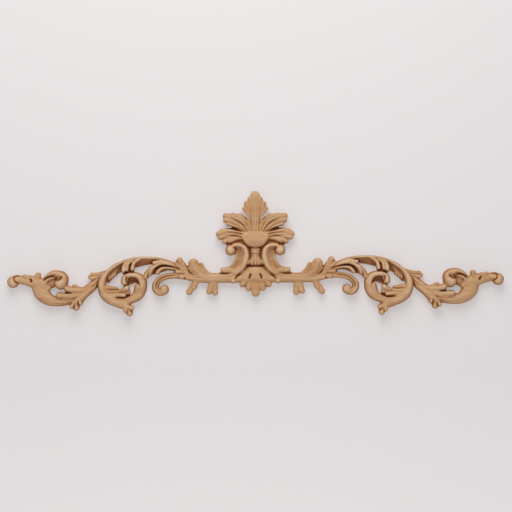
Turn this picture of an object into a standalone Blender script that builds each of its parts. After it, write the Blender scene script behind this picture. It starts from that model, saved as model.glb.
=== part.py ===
"""Carved wooden pediment for the crest of a mirror, bed or cabinet: a palmette on two C scrolls,
with a leafy scrolled wing to each side. Metres, +Z up. The width runs along X, the flat back lies on
the plane y = 0 and the carving faces -Y. The origin is on the back, where the wings' stems meet."""

import bmesh
import bpy
import numpy as np
from mathutils import Matrix

# Driving dimensions, in metres.
SPAN = 0.800  # tip to tip across both wings
RELIEF = 0.024  # from the flat back to the top of the crest's balls
FACETS = 9400  # triangles left after the flatter stretches are planed together

# The drawing is made on squared paper, X to the right of the middle and Z up from the stem's line.
# Its proportions are shares of the span, and heights are shares of the relief.
SQUARES_ACROSS = 497.0
SQUARE = SPAN / SQUARES_ACROSS
PAPER_RIGHT = 252.0
PAPER_BOTTOM = -43.0
PAPER_TOP = 88.0
SHEET_PITCH = 1.1  # squares between neighbouring points of the sheet that is carved
STEP_ALONG = 0.5  # squares between the gouge's stops along a stroke
FEWEST_STOPS = 4  # along the shortest stroke
PACE = 0.6  # power of the distance between two points of a path that the gouge's pace follows
BESIDE = 2.0  # squares looked at beyond a stroke's own edge
EDGE_CLEAR = 0.08  # squares by which every point of the sheet is in or out of the outline
LEAST_HEIGHT = 0.12  # of the relief, left standing under the deepest cuts
LOBE_SWELL = 0.8  # power by which a lobe broadens from its root to its end
LOBE_SAG = 0.02  # of the relief, by which a lobe dips between its root and its end
MIDDLE_CLEAR = 0.01  # squares from the middle plane within which a face lies on it
SEAM = 0.00005  # metres within which the two halves' points are joined
FAR_OUTSIDE = -99.0


class Level:
    """How high each kind of carving stands, as a share of the relief."""

    BALL = 1.0
    BUD = 0.92
    TIP = 0.76
    VINE = 0.66
    LEAF = 0.62
    SPRIG = 0.54
    FLOOR = 0.26


# Sections across a stroke, from its left edge (-1) to its right edge (1) as one looks along it:
# the share of the way from its edge height up to its crown.
ROUNDED = ((-1.0, 0.0), (-0.85, 0.5), (-0.5, 0.87), (0.0, 1.0), (0.5, 0.87), (0.85, 0.5), (1.0, 0.0))
SHOULDERED = ((-1.0, 0.0), (-0.8, 0.55), (-0.45, 0.9), (0.0, 1.0), (0.45, 0.9), (0.8, 0.55), (1.0, 0.0))
SLOPING = ((-1.0, 1.0), (-0.3, 0.55), (0.4, 0.2), (1.0, 0.0))


def natural_cubic(knots, points, at):
    """Values at `at` of the smooth curve through `points`, which bends least between its knots."""
    gaps = np.diff(knots)
    count = len(knots)
    system = np.eye(count)
    bends = np.zeros((count, points.shape[1]))
    for i in range(1, count - 1):
        system[i, i - 1 : i + 2] = gaps[i - 1], 2 * (gaps[i - 1] + gaps[i]), gaps[i]
        rise = (points[i + 1] - points[i]) / gaps[i]
        bends[i] = 6 * (rise - (points[i] - points[i - 1]) / gaps[i - 1])
    bends = np.linalg.solve(system, bends)
    left = np.clip(np.searchsorted(knots, at, side="right") - 1, 0, count - 2)
    gap = gaps[left][:, None]
    after = (at - knots[left])[:, None]
    before = gap - after
    cubic = (bends[left] * before**3 + bends[left + 1] * after**3) / (6 * gap)
    from_left = (points[left] / gap - bends[left] * gap / 6) * before
    return cubic + from_left + (points[left + 1] / gap - bends[left + 1] * gap / 6) * after


def spread(values, count):
    """`values` shared out evenly over `count` places; a single number holds all along."""
    values = np.atleast_1d(np.asarray(values, float))
    if len(values) == 1:
        return np.repeat(values, count)
    return np.interp(np.linspace(0, 1, count), np.linspace(0, 1, len(values)), values)


class Carving:
    """Places on the drawing: how far inside its outline each lies and how high the wood stands there."""

    def __init__(self, places):
        self.places = places
        self.inside = np.full(len(places), FAR_OUTSIDE)
        self.height = np.zeros(len(places))

    def sweep(self, path, widths, crowns):
        """Carries a gouge along the path. Gives the places it may reach and, at each, how far inside
        the stroke it lies, its share of the way across (-1 to 1) and the crown's height there."""
        path = np.asarray(path, float)
        lengths = np.hypot(*np.diff(path, axis=0).T)
        knots = np.concatenate([[0], np.cumsum(lengths**PACE)])
        stops = np.linspace(0, knots[-1], max(FEWEST_STOPS, int(lengths.sum() / STEP_ALONG)))
        centres = natural_cubic(knots, path, stops)
        half = np.interp(stops, knots, spread(widths, len(path)))
        crown = np.interp(stops, knots, spread(crowns, len(path)))
        ahead = np.gradient(centres, axis=0)
        ahead /= np.hypot(*ahead.T)[:, None]
        reach = half.max() + BESIDE
        low, high = centres.min(axis=0) - reach, centres.max(axis=0) + reach
        near = np.flatnonzero(((self.places > low) & (self.places < high)).all(axis=1))
        depth = np.full(len(near), FAR_OUTSIDE)
        across = np.zeros(len(near))
        top = np.zeros(len(near))
        for centre, (along_x, along_z), width, level in zip(centres, ahead, half, crown):
            x, z = (self.places[near] - centre).T
            within = width - np.hypot(x, z)
            left = along_x * z - along_z * x
            past = np.maximum(np.abs(along_x * x + along_z * z) - STEP_ALONG, 0)
            share = -np.sign(left) * np.hypot(left, past) / width
            better = within > depth
            depth = np.where(better, within, depth)
            across = np.where(better, share, across)
            top = np.where(better, level, top)
        return near, depth, np.clip(across, -1, 1), top

    def stroke(self, path, widths, crowns, section=ROUNDED, edge=0.3):
        """Leaves a band of wood along the path. Where strokes overlap, the higher wood stays."""
        near, depth, across, top = self.sweep(path, widths, crowns)
        shares, levels = np.array(section).T
        wood = edge + (top - edge) * np.interp(across, shares, levels)
        before = self.inside[near]
        higher = np.maximum(self.height[near], wood)
        first = np.where(depth > before, wood, self.height[near])
        self.height[near] = np.where((depth > 0) & (before > 0), higher, first)
        self.inside[near] = np.maximum(before, depth)

    def groove(self, path, widths, deep):
        """Cuts a V along the path, deepest at its middle."""
        near, depth, _, top = self.sweep(path, widths, deep)
        cut = self.height[near] - top * np.clip(depth / np.max(widths), 0, 1)
        self.height[near] = np.maximum(cut, np.minimum(self.height[near], LEAST_HEIGHT))

    def slit(self, path, widths):
        """Cuts right through the wood along the path."""
        near, depth, _, _ = self.sweep(path, widths, 0)
        self.inside[near] = np.minimum(self.inside[near], -depth)

    def petal(self, path, root, end, low, high, keep=0.72):
        """A leaf's lobe: narrow where it springs, broad at its rounded end, with shallow shoulders."""
        widths = [root + (end - root) * (i / (len(path) - 1)) ** LOBE_SWELL for i in range(len(path))]
        crowns = [low, (low + high) / 2 - LOBE_SAG, high]
        self.stroke(path, widths, crowns, SHOULDERED, keep * min(low, high))

    def lobes(self, root, ends, low, high, root_width, bend=0.0):
        """Lobes that open like a hand from one root. Each end is its place and its half width."""
        for x, z, end_width in ends:
            middle = (
                (root[0] + x) / 2 - bend * (z - root[1]),
                (root[1] + z) / 2 + bend * (x - root[0]),
            )
            self.petal([root, middle, (x, z)], root_width, end_width, low, high)


def carve_ground(carving):
    """The low wood that shows dark between the lobes and joins them."""
    hollow = [(103, 14.6), (110, 14.9), (120, 13.6), (130, 11.6), (138.4, 8.4), (144.6, 3.6), (148.2, -3.4)]
    carving.stroke(hollow, [2.4, 3.4, 4.4, 4.8, 5.2, 5.0, 2.8], [0.34, 0.38, 0.36, 0.36, 0.36], SLOPING, 0.14)
    curl = [(118.6, -4.4), (121, -3.6), (124.4, -4.2), (128, -5.6)]
    carving.stroke(curl, [1.6, 2.6, 3.4, 3.2], Level.FLOOR, edge=0.15)
    carving.stroke([(122.8, -0.8), (127.4, -1.6)], [1.0, 1.4], 0.34)
    carving.stroke([(125.6, 11), (125.8, 8)], [0.8, 1.1], 0.4)
    carving.stroke([(127, -19.6), (134, -20.4), (144, -20)], [2.2, 2.6, 3.0], Level.FLOOR, edge=0.2)
    carving.stroke([(128, -17.4), (140, -17)], [1.2, 1.4], 0.3)
    carving.stroke([(199, -2.6), (204, -4.6), (209, -8.4)], [4.6, 6.2, 4.6], 0.4, edge=0.2)
    carving.stroke([(184.6, -15.4), (189.4, -15.3)], [1.9, 1.5], 0.46)
    carving.stroke([(62, 1), (66, 4), (69.5, 7.5)], [2.5, 2.7, 3.6], 0.48, edge=0.4)
    carving.stroke([(77, 12), (78.8, 14.4)], [1.4, 1.5], 0.42, edge=0.38)
    between = [(80, 8.6), (88, 10.2), (95, 10.2), (99.4, 8.2), (101.8, 3.6)]
    carving.stroke(between, [1.0, 1.3, 1.5, 2.0, 1.7], 0.3)
    carving.stroke([(74, 4.6), (82, 6.6), (89, 7.0), (95, 5.2)], [1.2, 1.1, 1.2, 1.4], 0.3)
    carving.stroke([(92, 15.4), (100, 16.4), (106, 16.4)], 1.4, 0.34)
    carving.stroke([(0, 4), (0, 33)], [11, 12], 0.38)
    carving.stroke([(4, 8), (16, 1)], [5, 4], 0.38)
    carving.stroke([(12, 34), (27, 32.6)], [4, 2.6], 0.38)
    carving.stroke([(123.6, 6.2), (131, 4.8)], [2.2, 2.7], Level.FLOOR, edge=0.15)
    carving.stroke([(72, 3.8), (81, 4.2)], [1.4, 1.0], 0.34)
    carving.stroke([(14, 39), (31, 38.6)], [3, 3], 0.5, edge=0.4)
    carving.stroke([(13, 45), (22, 48)], [1.7, 1.9], 0.36)
    carving.stroke([(8.8, 55.2), (10.4, 58.4)], [1.7, 1.3], 0.5, edge=0.4)
    carving.stroke([(183, -26.4), (186.6, -26.8)], 1.3, 0.34)
    carving.stroke([(129, -8.4), (131, -9)], 1.0, 0.34)
    carving.stroke([(3.4, 70), (6.4, 74.4)], [3.0, 1.4], 0.5, edge=0.4)
    carving.stroke([(4.6, 62), (9.4, 68.8)], [2.6, 1.4], 0.5, edge=0.4)
    carving.stroke([(2, -6), (11, -7)], [5, 4], 0.4)


def carve_vine(carving):
    """The outer S vine, from behind the ring to the volute, with its leaves and its foot."""
    route = [(152, 1), (157.5, -3.5), (164, -9.8), (172, -15.7), (181, -20.2)]
    route += [(190, -23.2), (200, -24), (209, -21.7), (215.5, -15), (218, -7)]
    widths = [3.5, 4.0, 4.8, 5.4, 5.4, 5.2, 5.2, 5.8, 6.8, 6.0]
    carving.stroke(route, widths, [0.42, 0.58, Level.VINE, Level.VINE, Level.SPRIG])
    carving.stroke([(205, -22), (211, -16), (213, -9)], [4, 5.2, 4], [0.5, 0.6, 0.56])
    carving.petal([(166, -11.2), (175, -12), (181.4, -9.7)], 1.6, 2.4, 0.56, 0.64)
    carving.petal([(168, -12.6), (178.6, -13.8), (188.4, -11.7)], 1.8, 3.2, 0.6, 0.76)
    carving.petal([(172, -16.2), (183, -18.2), (190, -18.7), (196.5, -18.2)], 2.0, 3.1, Level.LEAF, 0.72)
    flute = [(158.4, -5), (164, -10.6), (172, -17), (180, -21), (190, -23.4), (200, -22.6)]
    carving.groove(flute, [0.5, 1.0, 1.1, 0.5], 0.1)
    shin = [(164, -12), (171, -17.6), (177, -23.4), (180.2, -27.8)]
    carving.stroke(shin, [2.2, 3.6, 4.6, 4.2], [0.6, 0.68, 0.74, 0.72])
    foot = [(175.7, -26.2, 2.6), (179.5, -30.9, 2.8), (183.2, -29.2, 2.7)]
    carving.lobes((178, -23), foot, 0.74, Level.TIP, 2.6)
    carving.groove([(177.4, -24.4), (177.4, -26.8), (176.2, -29.6)], [0.6, 1.2, 1.0], 0.2)
    carving.groove([(180.6, -26.8), (181.4, -29.2), (182.0, -32.4)], [0.6, 1.1, 0.9], 0.2)


def carve_volute(carving):
    """The rolled end of the vine with its bud, and the tail that runs on to the wing's tip."""
    roll = [(216.5, -10), (212.6, -4.2), (209.5, -0.2), (206, 2.3), (202.2, 3.7)]
    roll += [(198, 3.2), (194.2, 2.2), (191.3, -0.6), (191.6, -4.4)]
    roll_widths = [2.4, 2.1, 2.2, 2.4, 2.9, 3.6, 3.8, 3.7, 4.0]
    carving.stroke(roll, roll_widths, [0.54, 0.6, 0.66, 0.74, 0.82, 0.86])
    channel = [(200.6, 2.0), (204.6, 1.3), (208.6, -0.6), (211.6, -3.4), (213.8, -5.6)]
    carving.groove(channel, [0.6, 1.1, 1.3, 1.3, 0.8], 0.3)
    carving.stroke([(194.2, -5.6), (194.8, -6.4)], [6.3, 6.1], Level.BUD)
    carving.groove([(193.4, 0.8), (194.8, -1.7), (197.4, -3.0), (200.4, -2.2)], [0.4, 1.1, 1.1, 0.6], 0.26)
    inner = [(201, -0.9), (204, -0.9), (207.7, -2.4), (210.3, -5.4), (211.4, -9.6)]
    carving.stroke(inner, [1.1, 1.5, 1.7, 1.8, 1.8], [0.56, 0.62, 0.6, 0.54])
    carving.stroke([(211.8, -12.4), (209.2, -11.2), (207.4, -10.8)], [1.6, 2.2, 2.7], [0.44, 0.5])
    tail = [(214, -8), (221, -5), (228, -3.4), (234, -2.5), (238.6, -2.0), (242, -3.0)]
    carving.stroke(tail, [6.5, 6.3, 5.0, 4.2, 4.3, 4.6], [0.55, 0.58, 0.56, 0.6, 0.66, 0.7])
    carving.stroke([(243.0, -4.4), (242.8, -5.0)], 5.5, 0.86)
    curl = [(236.4, 0.8), (239.4, 1.2), (241.4, -0.8), (240.6, -3.8), (238.4, -5.4)]
    carving.groove(curl, [0.6, 1.2, 1.4, 1.2, 0.9], 0.26)
    carving.lobes((219, -5), [(217.6, 2.2, 2.7)], 0.56, 0.6, 3.4)
    carving.lobes((225, -4), [(226.6, 0.5, 1.9), (231.0, 1.1, 1.9)], 0.56, 0.6, 2.0)
    carving.groove([(224.9, -2.2), (224.1, -4.2)], [1.2, 1.4], 0.3)


def carve_ring(carving):
    """The great ring: a rim that rises from the stem, turns inwards and ends in a bud."""
    rim = [(80, 11.6), (90, 15.6), (100, 18.0), (110, 18.8), (120, 18.1), (130, 15.8), (138, 12.2)]
    rim += [(146, 6.6), (151.2, 0.4), (153.6, -5.5), (153.4, -12.5), (150.2, -18.8), (144, -23.4)]
    rim += [(136, -26), (128, -25.6)]
    rim_widths = [1.8, 1.7, 1.4, 1.3, 1.4, 1.4, 1.5, 2.0, 3.0, 3.8, 4.3, 4.8, 4.9, 4.5, 3.6]
    carving.stroke(rim, rim_widths, [0.5, Level.LEAF, Level.LEAF, Level.VINE, 0.72, 0.76, 0.76, 0.62])
    carving.petal([(136, 10.5), (139.4, 6.2), (140.9, 1.6)], 1.0, 1.9, 0.3, 0.5, 0.6)
    carving.petal([(139, 9), (143, 3.6), (143.9, -0.6)], 1.0, 1.9, 0.3, 0.5, 0.6)
    carving.petal([(142.4, 6.6), (146, 1.4), (146.4, -2.2)], 1.0, 1.6, 0.3, 0.48, 0.6)
    carving.petal([(116, 17.4), (121.4, 13.6), (123.1, 7.9)], 1.4, 2.4, 0.6, 0.72)
    carving.petal([(123, 16.8), (127.2, 12.6), (128.6, 7.2)], 1.6, 2.2, 0.62, 0.76)
    carving.petal([(126, 16), (131.0, 11.6), (131.9, 6.3)], 1.6, 2.4, 0.62, 0.74)
    carving.groove([(122.2, 15.4), (125.4, 12), (125.9, 7)], [0.6, 1.1, 1.0], 0.3)
    turn = [(140, -23.5), (131, -24.6), (123.6, -22.4), (117.9, -18.3), (115.3, -12), (113.8, -6)]
    turn += [(114.9, -1.9), (118.2, 0.9), (122.4, 1.8), (127, 1.4), (130.8, -1.4), (131.2, -5.2)]
    turn_widths = [3.0, 3.6, 4.2, 5.4, 6.3, 4.9, 4.0, 3.2, 2.7, 2.5, 3.0, 3.5]
    carving.stroke(turn, turn_widths, [0.6, 0.68, 0.7, 0.7, 0.74, 0.82])
    crescent = [(116.4, -8), (118.0, -4.9), (121.0, -2.8), (125.2, -3.0), (127.6, -5.2)]
    carving.groove(crescent, [0.5, 1.3, 1.9, 1.7, 1.2], 0.36)
    carving.petal([(124.6, 1.2), (127.6, -0.4), (127.7, -3.6)], 0.9, 1.0, Level.LEAF, Level.LEAF, 0.6)
    carving.groove([(127.4, 1.6), (129.0, -0.6), (129.2, -4.6)], [0.4, 0.9, 0.8], 0.2)


def carve_ring_leaves(carving):
    """The leaf that sweeps across the ring, the ring's foot and the sprig beside it."""
    carving.petal([(150, -16.6), (139, -15.5), (133, -15.3), (127.5, -15.3)], 3.2, 2.3, 0.58, 0.6, 0.84)
    carving.petal([(151, -19.5), (141, -18.4), (136, -18.1), (131.3, -18.6)], 2.6, 2.0, 0.6, 0.66, 0.84)
    carving.petal([(153, -10.8), (146, -11.0), (139.2, -12.0)], 2.6, 1.8, Level.LEAF, Level.LEAF)
    neck = [(152, -15), (142, -14.8), (135.4, -14.0), (131.4, -12.6), (128.8, -11.5)]
    carving.stroke(neck, [2.6, 1.7, 1.4, 2.2, 2.9], [Level.LEAF, 0.64, Level.LEAF, 0.7, 0.8], edge=0.46)
    shin = [(148, -21), (138, -26.6), (131, -29.6), (127.6, -31.4)]
    carving.stroke(shin, [3.5, 4.2, 3.4, 3.4], [0.6, Level.VINE, 0.72])
    carving.stroke([(131, -28.6), (127.6, -32.4), (126.4, -35.8)], [3.2, 4.0, 3.2], [0.7, 0.74, 0.72])
    foot = [(124.3, -31.5, 2.4), (126.0, -36.9, 2.8), (129.7, -33.7, 2.6)]
    carving.lobes((130.6, -28.6), foot, 0.7, Level.TIP, 2.8)
    carving.groove([(127.0, -32.0), (125.4, -33.4), (122.4, -34.2)], [0.6, 1.1, 0.9], 0.2)
    carving.groove([(128.0, -31.6), (127.8, -34.4), (129.0, -37.0)], [0.6, 1.1, 0.9], 0.2)
    carving.stroke([(148, 5.6), (156, 2.4), (162, 1.1)], [1.6, 2.4, 3.0], [0.5, 0.56])
    carving.lobes((157, 1.2), [(163.6, 2.6, 1.9), (165.6, 0.3, 2.0), (163.8, -1.6, 1.9)], 0.52, 0.6, 2.0)


def carve_spray(carving):
    """The leaves that sweep out of the stem towards the ring, and the tendril under them."""
    blade = [(66, 3.5), (77, 9.0), (86, 12.0), (93, 13.0), (99.6, 10.9), (104.2, 7.2), (107, 3.6)]
    carving.stroke(blade, [1.8, 2.0, 1.8, 1.8, 2.3, 2.9, 3.6], [0.5, 0.6, 0.7, 0.76, 0.7], SHOULDERED, 0.34)
    carving.petal([(102.6, 7.6), (105.0, 4.8), (105.5, 2.5)], 1.4, 2.2, 0.6, Level.LEAF, 0.6)
    carving.petal([(105.6, 6.6), (108.8, 3.2), (109.8, -0.2)], 1.8, 2.7, 0.64, Level.VINE, 0.6)
    carving.groove([(104.8, 6.6), (107.0, 3.4), (107.4, -0.6)], [0.4, 1.0, 1.0], 0.2)
    under = [(66, 1.5), (77, 6.4), (87, 8.7), (94.0, 8.0), (97.9, 4.3)]
    carving.stroke(under, [1.6, 1.6, 1.4, 1.9, 2.4], [0.48, 0.58, Level.VINE, Level.LEAF])
    parting = [(75, 7.2), (84, 10.0), (91, 10.9), (96.6, 10.1), (100.2, 7.2), (101.8, 3.4)]
    carving.groove(parting, [0.5, 1.0, 1.2, 1.4, 1.5, 1.2], 0.26)
    carving.petal([(82, 11.6), (92, 14.8), (101.3, 13.9)], 1.6, 2.1, 0.58, 0.72)
    tendril = [(58, -2), (70, -0.4), (80.4, 0.8), (88.7, 0), (93.8, -1.8), (97.4, -4.2), (99.8, -7.2)]
    tendril += [(100.2, -11), (98.4, -14.6), (94.6, -16.2), (91.2, -14.6)]
    widths = [2.5, 2.6, 2.9, 2.95, 3.0, 3.0, 3.3, 3.5, 3.5, 3.3, 3.6]
    carving.stroke(tendril, widths, [0.5, 0.58, 0.6, 0.6, 0.66, 0.72])
    carving.stroke([(91.3, -13.4), (91.3, -13.0)], 4.5, Level.TIP, SHOULDERED)
    flute = [(77, 1.2), (84, 1.0), (89.6, 0.1), (94, -1.8), (97.8, -5.2), (99.6, -9.2), (98.4, -13)]
    carving.groove(flute, [0.6, 1.0, 1.2, 1.2, 1.2, 1.0, 0.6], 0.18)
    carving.petal([(64, 0.4), (72, 3.9), (79.0, 4.5)], 1.5, 1.7, 0.5, 0.6)


def carve_stem(carving):
    """The stem beside the middle, with the leaves that grow above and below it."""
    carving.lobes((42, -2), [(40.6, -16.4, 3.0), (46.4, -15.2, 3.0)], 0.5, Level.SPRIG, 3.6)
    carving.lobes((58, -2), [(66.4, -15.6, 3.1), (61.6, -11, 2.6)], 0.48, 0.52, 2.6)
    stem = [(14, -2), (28, -2), (45, -1.8), (58, -1.8), (70, -0.8)]
    carving.stroke(stem, [4.5, 4.7, 4.9, 4.6, 2.6], [0.55, Level.LEAF, 0.5])
    carving.lobes((60, -2), [(71, -0.8, 2.4), (77.4, -0.6, 2.0)], 0.58, 0.58, 2.5)
    carving.petal([(43, -0.6), (50, 4.2), (54.6, 11.4)], 2.5, 2.3, 0.56, 0.64)
    carving.petal([(50, -1.5), (59, 2.4), (63.4, 8.6)], 2.6, 4.2, 0.56, 0.64, 0.8)
    carving.petal([(46, -1.5), (56.4, 3.8), (62.1, 12.6)], 3.6, 5.1, 0.58, 0.7, 0.8)
    carving.groove([(69.0, 11.4), (68.4, 8.0), (66.2, 4.6), (62, 1.0)], [1.0, 1.2, 1.0, 0.5], 0.24)
    small_leaf = [(71.9, 12.0, 2.2), (79.0, 13.0, 2.0), (76.0, 16.6, 2.7)]
    carving.lobes((68.5, 2.6), small_leaf, 0.56, 0.64, 2.4)


def carve_scroll(carving):
    """The C scroll under the palmette, with its ball and the leaf at its foot."""
    curve = [(40, -1), (31, 1.2), (24, 4.5), (17.2, 10), (13.3, 17), (12.9, 24), (15.5, 29.4), (21, 31)]
    carving.stroke(curve, [3.5, 4.2, 5.2, 6.2, 7.2, 6.8, 4.4, 2.6], [0.58, 0.62, 0.66, 0.7], SHOULDERED)
    hollow = [(22, 7.2), (17.4, 12), (15.2, 17.4), (14.8, 22.6), (16.0, 27.2)]
    carving.groove(hollow, [1.0, 2.4, 3.2, 3.2, 2.2], 0.13)
    ridge = [(27.6, 7.4), (22.6, 11.6), (19.6, 16.2), (18.6, 21.2), (19.2, 25.6)]
    carving.stroke(ridge, [0.9, 1.2, 1.5, 1.5, 1.1], [0.64, 0.7, 0.68], edge=0.5)
    carving.stroke([(24.7, 26.1), (24.7, 25.9)], 5.4, Level.BALL)
    rim = [(20, 2.6), (15.4, 6.4), (11.8, 11.4), (9.6, 17.2), (9.1, 23), (10.8, 28.2)]
    rim += [(14.6, 30.4), (20, 30.9), (23.8, 29.2)]
    rim_widths = [1.6, 2.6, 3.2, 3.3, 2.9, 2.5, 1.9, 1.7, 1.3]
    carving.stroke(rim, rim_widths, [0.64, 0.74, 0.82, 0.84, 0.88, 0.98], edge=0.5)
    carving.lobes((21, 3.9), [(27.6, 7.5, 2.2), (32.5, 6.3, 2.6)], 0.64, 0.7, 2.6)
    carving.groove([(24, 3.4), (29, 2.8), (35, 2.6)], [0.5, 1.1, 1.2], 0.2)


def carve_vase(carving):
    """The vase between the scrolls, the boss under it and the drop below the stem."""
    carving.lobes((0, 2), [(13.2, -8.4, 3.0), (7, -11.8, 3.4), (0, -16.6, 4.2)], 0.5, 0.56, 3.4)
    carving.stroke([(0, 3), (8, 0), (16, -2.5)], [9, 7.5, 3.5], [0.7, Level.LEAF, 0.5])
    carving.stroke([(0, 14), (0, 19), (0, 24)], [6.0, 4.9, 4.6], [0.64, 0.7])
    carving.stroke([(-3.4, 25.4), (3.4, 25.4)], 2.3, 0.82)
    carving.groove([(-8, 10.6), (0, 9.9), (8, 10.6)], 1.3, 0.2)
    for x, z, width in ((6.8, 13.2, 1.6), (3.5, 12.5, 1.9), (0, 12.6, 1.7)):
        carving.petal([(0, 18), (x * 0.68, z + 2.3), (x, z)], 1.6, width, 0.68, 0.8)
    carving.stroke([(14, -2), (19, -4.6)], [2.4, 2.0], 0.5)
    carving.stroke([(22.2, -5.0), (22.5, -5.1)], 2.5, 0.7)
    carving.groove([(15.6, 2.0), (18, 0.2), (20.2, -2.6)], [0.5, 1.2, 0.8], 0.24)
    carving.groove([(4.9, 1.6), (6.1, -2.0)], 1.2, 0.3)


def carve_palmette(carving):
    """The palmette's three leaves to each side of its middle line, and the cup they stand in."""
    low_leaf = [(23.4, 44.6, 2.2), (28.6, 45.9, 2.5), (33.6, 44.6, 2.6), (36.6, 42.2, 2.8)]
    low_leaf += [(35.2, 38.6, 2.5), (30.8, 34.7, 2.6), (25, 35.4, 2.8)]
    side_leaf = [(15.0, 60.1, 2.7), (18.8, 60.2, 2.5), (22.4, 60.7, 2.6), (26.0, 60.2, 2.5)]
    side_leaf += [(29.5, 60.0, 3.0), (29.2, 56.0, 2.8), (26.6, 52.4, 2.3)]
    carving.lobes((3, 38), low_leaf, 0.6, Level.VINE, 1.8, 0.1)
    carving.lobes((4, 41), side_leaf, Level.LEAF, 0.7, 1.8, 0.09)
    carving.groove([(30, 49.9), (25.4, 48.5), (20, 46.8), (14, 44.9)], [1.3, 1.3, 1.2, 0.6], 0.3)
    carving.petal([(3.0, 44), (5.2, 56), (10.6, 66.8)], 1.8, 2.7, 0.64, 0.68, 0.8)
    carving.petal([(2.4, 44), (4.8, 59), (8.3, 72.2)], 2.0, 2.9, Level.VINE, 0.7, 0.8)
    carving.petal([(1.6, 44), (3.6, 62), (5.0, 76.8)], 2.2, 2.7, Level.VINE, 0.72, 0.8)
    carving.petal([(0, 40), (0, 60), (0, 80)], 3.4, 4.9, 0.68, 0.76, 0.84)
    carving.groove([(3.6, 45.4), (4.4, 56), (5.0, 70)], [0.9, 1.1, 0.5], 0.12)
    carving.groove([(8.2, 44.6), (11.6, 50), (16.4, 54.2), (23, 57.4)], [0.8, 1.1, 1.0, 0.5], 0.14)
    carving.groove([(10.6, 43.6), (14.6, 48.2), (20, 51.4), (27, 53.4)], [0.8, 1.1, 1.0, 0.5], 0.12)
    carving.groove([(11.2, 41.2), (19, 43.2), (28, 43.8)], [0.9, 1.1, 0.5], 0.14)
    carving.groove([(11.2, 37.8), (18.6, 40), (29, 40.4)], [0.9, 1.1, 0.5], 0.14)
    carving.slit([(13.8, 65.3), (10.2, 61.2), (7.1, 57.6)], [1.9, 1.1, 0.5])
    carving.groove([(0, 28.6), (5, 29.3), (9.8, 32.4)], [1.7, 1.6, 1.1], 0.2)
    carving.stroke([(0, 36.2), (4, 36.8), (8.8, 39.2)], [8.4, 7.8, 5.0], [0.86, 0.84, 0.74], edge=0.56)


def carve(places):
    """The whole right half of the drawing, at the given places."""
    carving = Carving(places)
    for part in (
        carve_ground,
        carve_vine,
        carve_volute,
        carve_ring,
        carve_ring_leaves,
        carve_spray,
        carve_stem,
        carve_scroll,
        carve_vase,
        carve_palmette,
    ):
        part(carving)
    return carving


def positions(shape):
    """The mesh's vertices as an array."""
    return np.array([vertex.co for vertex in shape.verts])


def place(shape, points):
    """Moves the mesh's vertices to the points."""
    for vertex, point in zip(shape.verts, points.tolist()):
        vertex.co = point


def put_in_order(shape):
    """Numbers the mesh's edges and faces by their corners, so that each run planes it alike."""
    shape.verts.index_update()
    count = float(len(shape.verts))

    def rank(element):
        return np.polyval(sorted(vertex.index for vertex in element.verts)[:3], count)

    shape.edges.sort(key=rank)
    shape.faces.sort(key=rank)


def sheet_cut_to_outline():
    """A flat sheet over the right half of the drawing, in squares, sawn along the outline.

    Each corner is first lifted by how far inside the outline it lies, and the sheet is then cut off
    level with the paper, so that what is left is the drawing's own shape."""
    across, up = PAPER_RIGHT, PAPER_TOP - PAPER_BOTTOM
    middle = (PAPER_TOP + PAPER_BOTTOM) / 2
    shape = bmesh.new()
    bmesh.ops.create_grid(
        shape,
        x_segments=round(across / SHEET_PITCH),
        y_segments=round(up / SHEET_PITCH),
        size=0.5,
        matrix=Matrix.Translation((across / 2, middle, 0)) @ Matrix.Diagonal((across, up, 1, 1)),
    )
    bmesh.ops.triangulate(shape, faces=shape.faces, quad_method="ALTERNATE")
    points = positions(shape)
    inside = carve(points[:, :2]).inside
    points[:, 2] = np.where(np.abs(inside) < EDGE_CLEAR, EDGE_CLEAR, inside)
    place(shape, points)
    everything = [*shape.verts, *shape.edges, *shape.faces]
    bmesh.ops.bisect_plane(shape, geom=everything, plane_co=(0, 0, 0), plane_no=(0, 0, 1), clear_inner=True)
    return shape


def carved_half(name):
    """The right half as a mesh that is open at the middle plane: carved face, walls and flat back."""
    shape = sheet_cut_to_outline()
    points = positions(shape)
    height = carve(points[:, :2]).height
    front = np.column_stack([points[:, 0] * SQUARE, -height * RELIEF, points[:, 1] * SQUARE])
    place(shape, front)
    region = [*shape.faces, *shape.edges]
    grown = bmesh.ops.extrude_face_region(shape, geom=region, use_keep_orig=True)["geom"]
    for element in grown:
        if isinstance(element, bmesh.types.BMVert):
            element.co.y = 0
    middle = SQUARE * MIDDLE_CLEAR
    at_middle = [face for face in shape.faces if all(vertex.co.x < middle for vertex in face.verts)]
    bmesh.ops.delete(shape, geom=at_middle, context="FACES")
    put_in_order(shape)
    bmesh.ops.recalc_face_normals(shape, faces=shape.faces)
    mesh = bpy.data.meshes.new(name)
    shape.to_mesh(mesh)
    shape.free()
    return mesh


def beech():
    """Raw beech, sanded and unfinished."""
    material = bpy.data.materials.new("beech")
    material.use_nodes = True
    shader = material.node_tree.nodes["Principled BSDF"]
    shader.inputs["Base Color"].default_value = (0.43, 0.25, 0.135, 1.0)
    shader.inputs["Roughness"].default_value = 0.58
    shader.inputs["Metallic"].default_value = 0.0
    return material


def build():
    """The pediment as one solid, mirrored about its middle and planed to its facets."""
    for leftover in list(bpy.data.objects):
        bpy.data.objects.remove(leftover, do_unlink=True)
    group = bpy.data.collections.new("furniture_pediment")
    bpy.context.scene.collection.children.link(group)
    pediment = bpy.data.objects.new("carved_pediment", carved_half("carved_pediment"))
    group.objects.link(pediment)
    pediment.data.materials.append(beech())
    mirror = pediment.modifiers.new("other half", "MIRROR")
    mirror.merge_threshold = SEAM
    whole = 2 * sum(len(face.vertices) - 2 for face in pediment.data.polygons)
    planed = pediment.modifiers.new("planed", "DECIMATE")
    planed.ratio = FACETS / whole
    pediment.data.shade_smooth()
    pediment.data.set_sharp_from_angle(angle=0.7)
    return pediment


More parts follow.
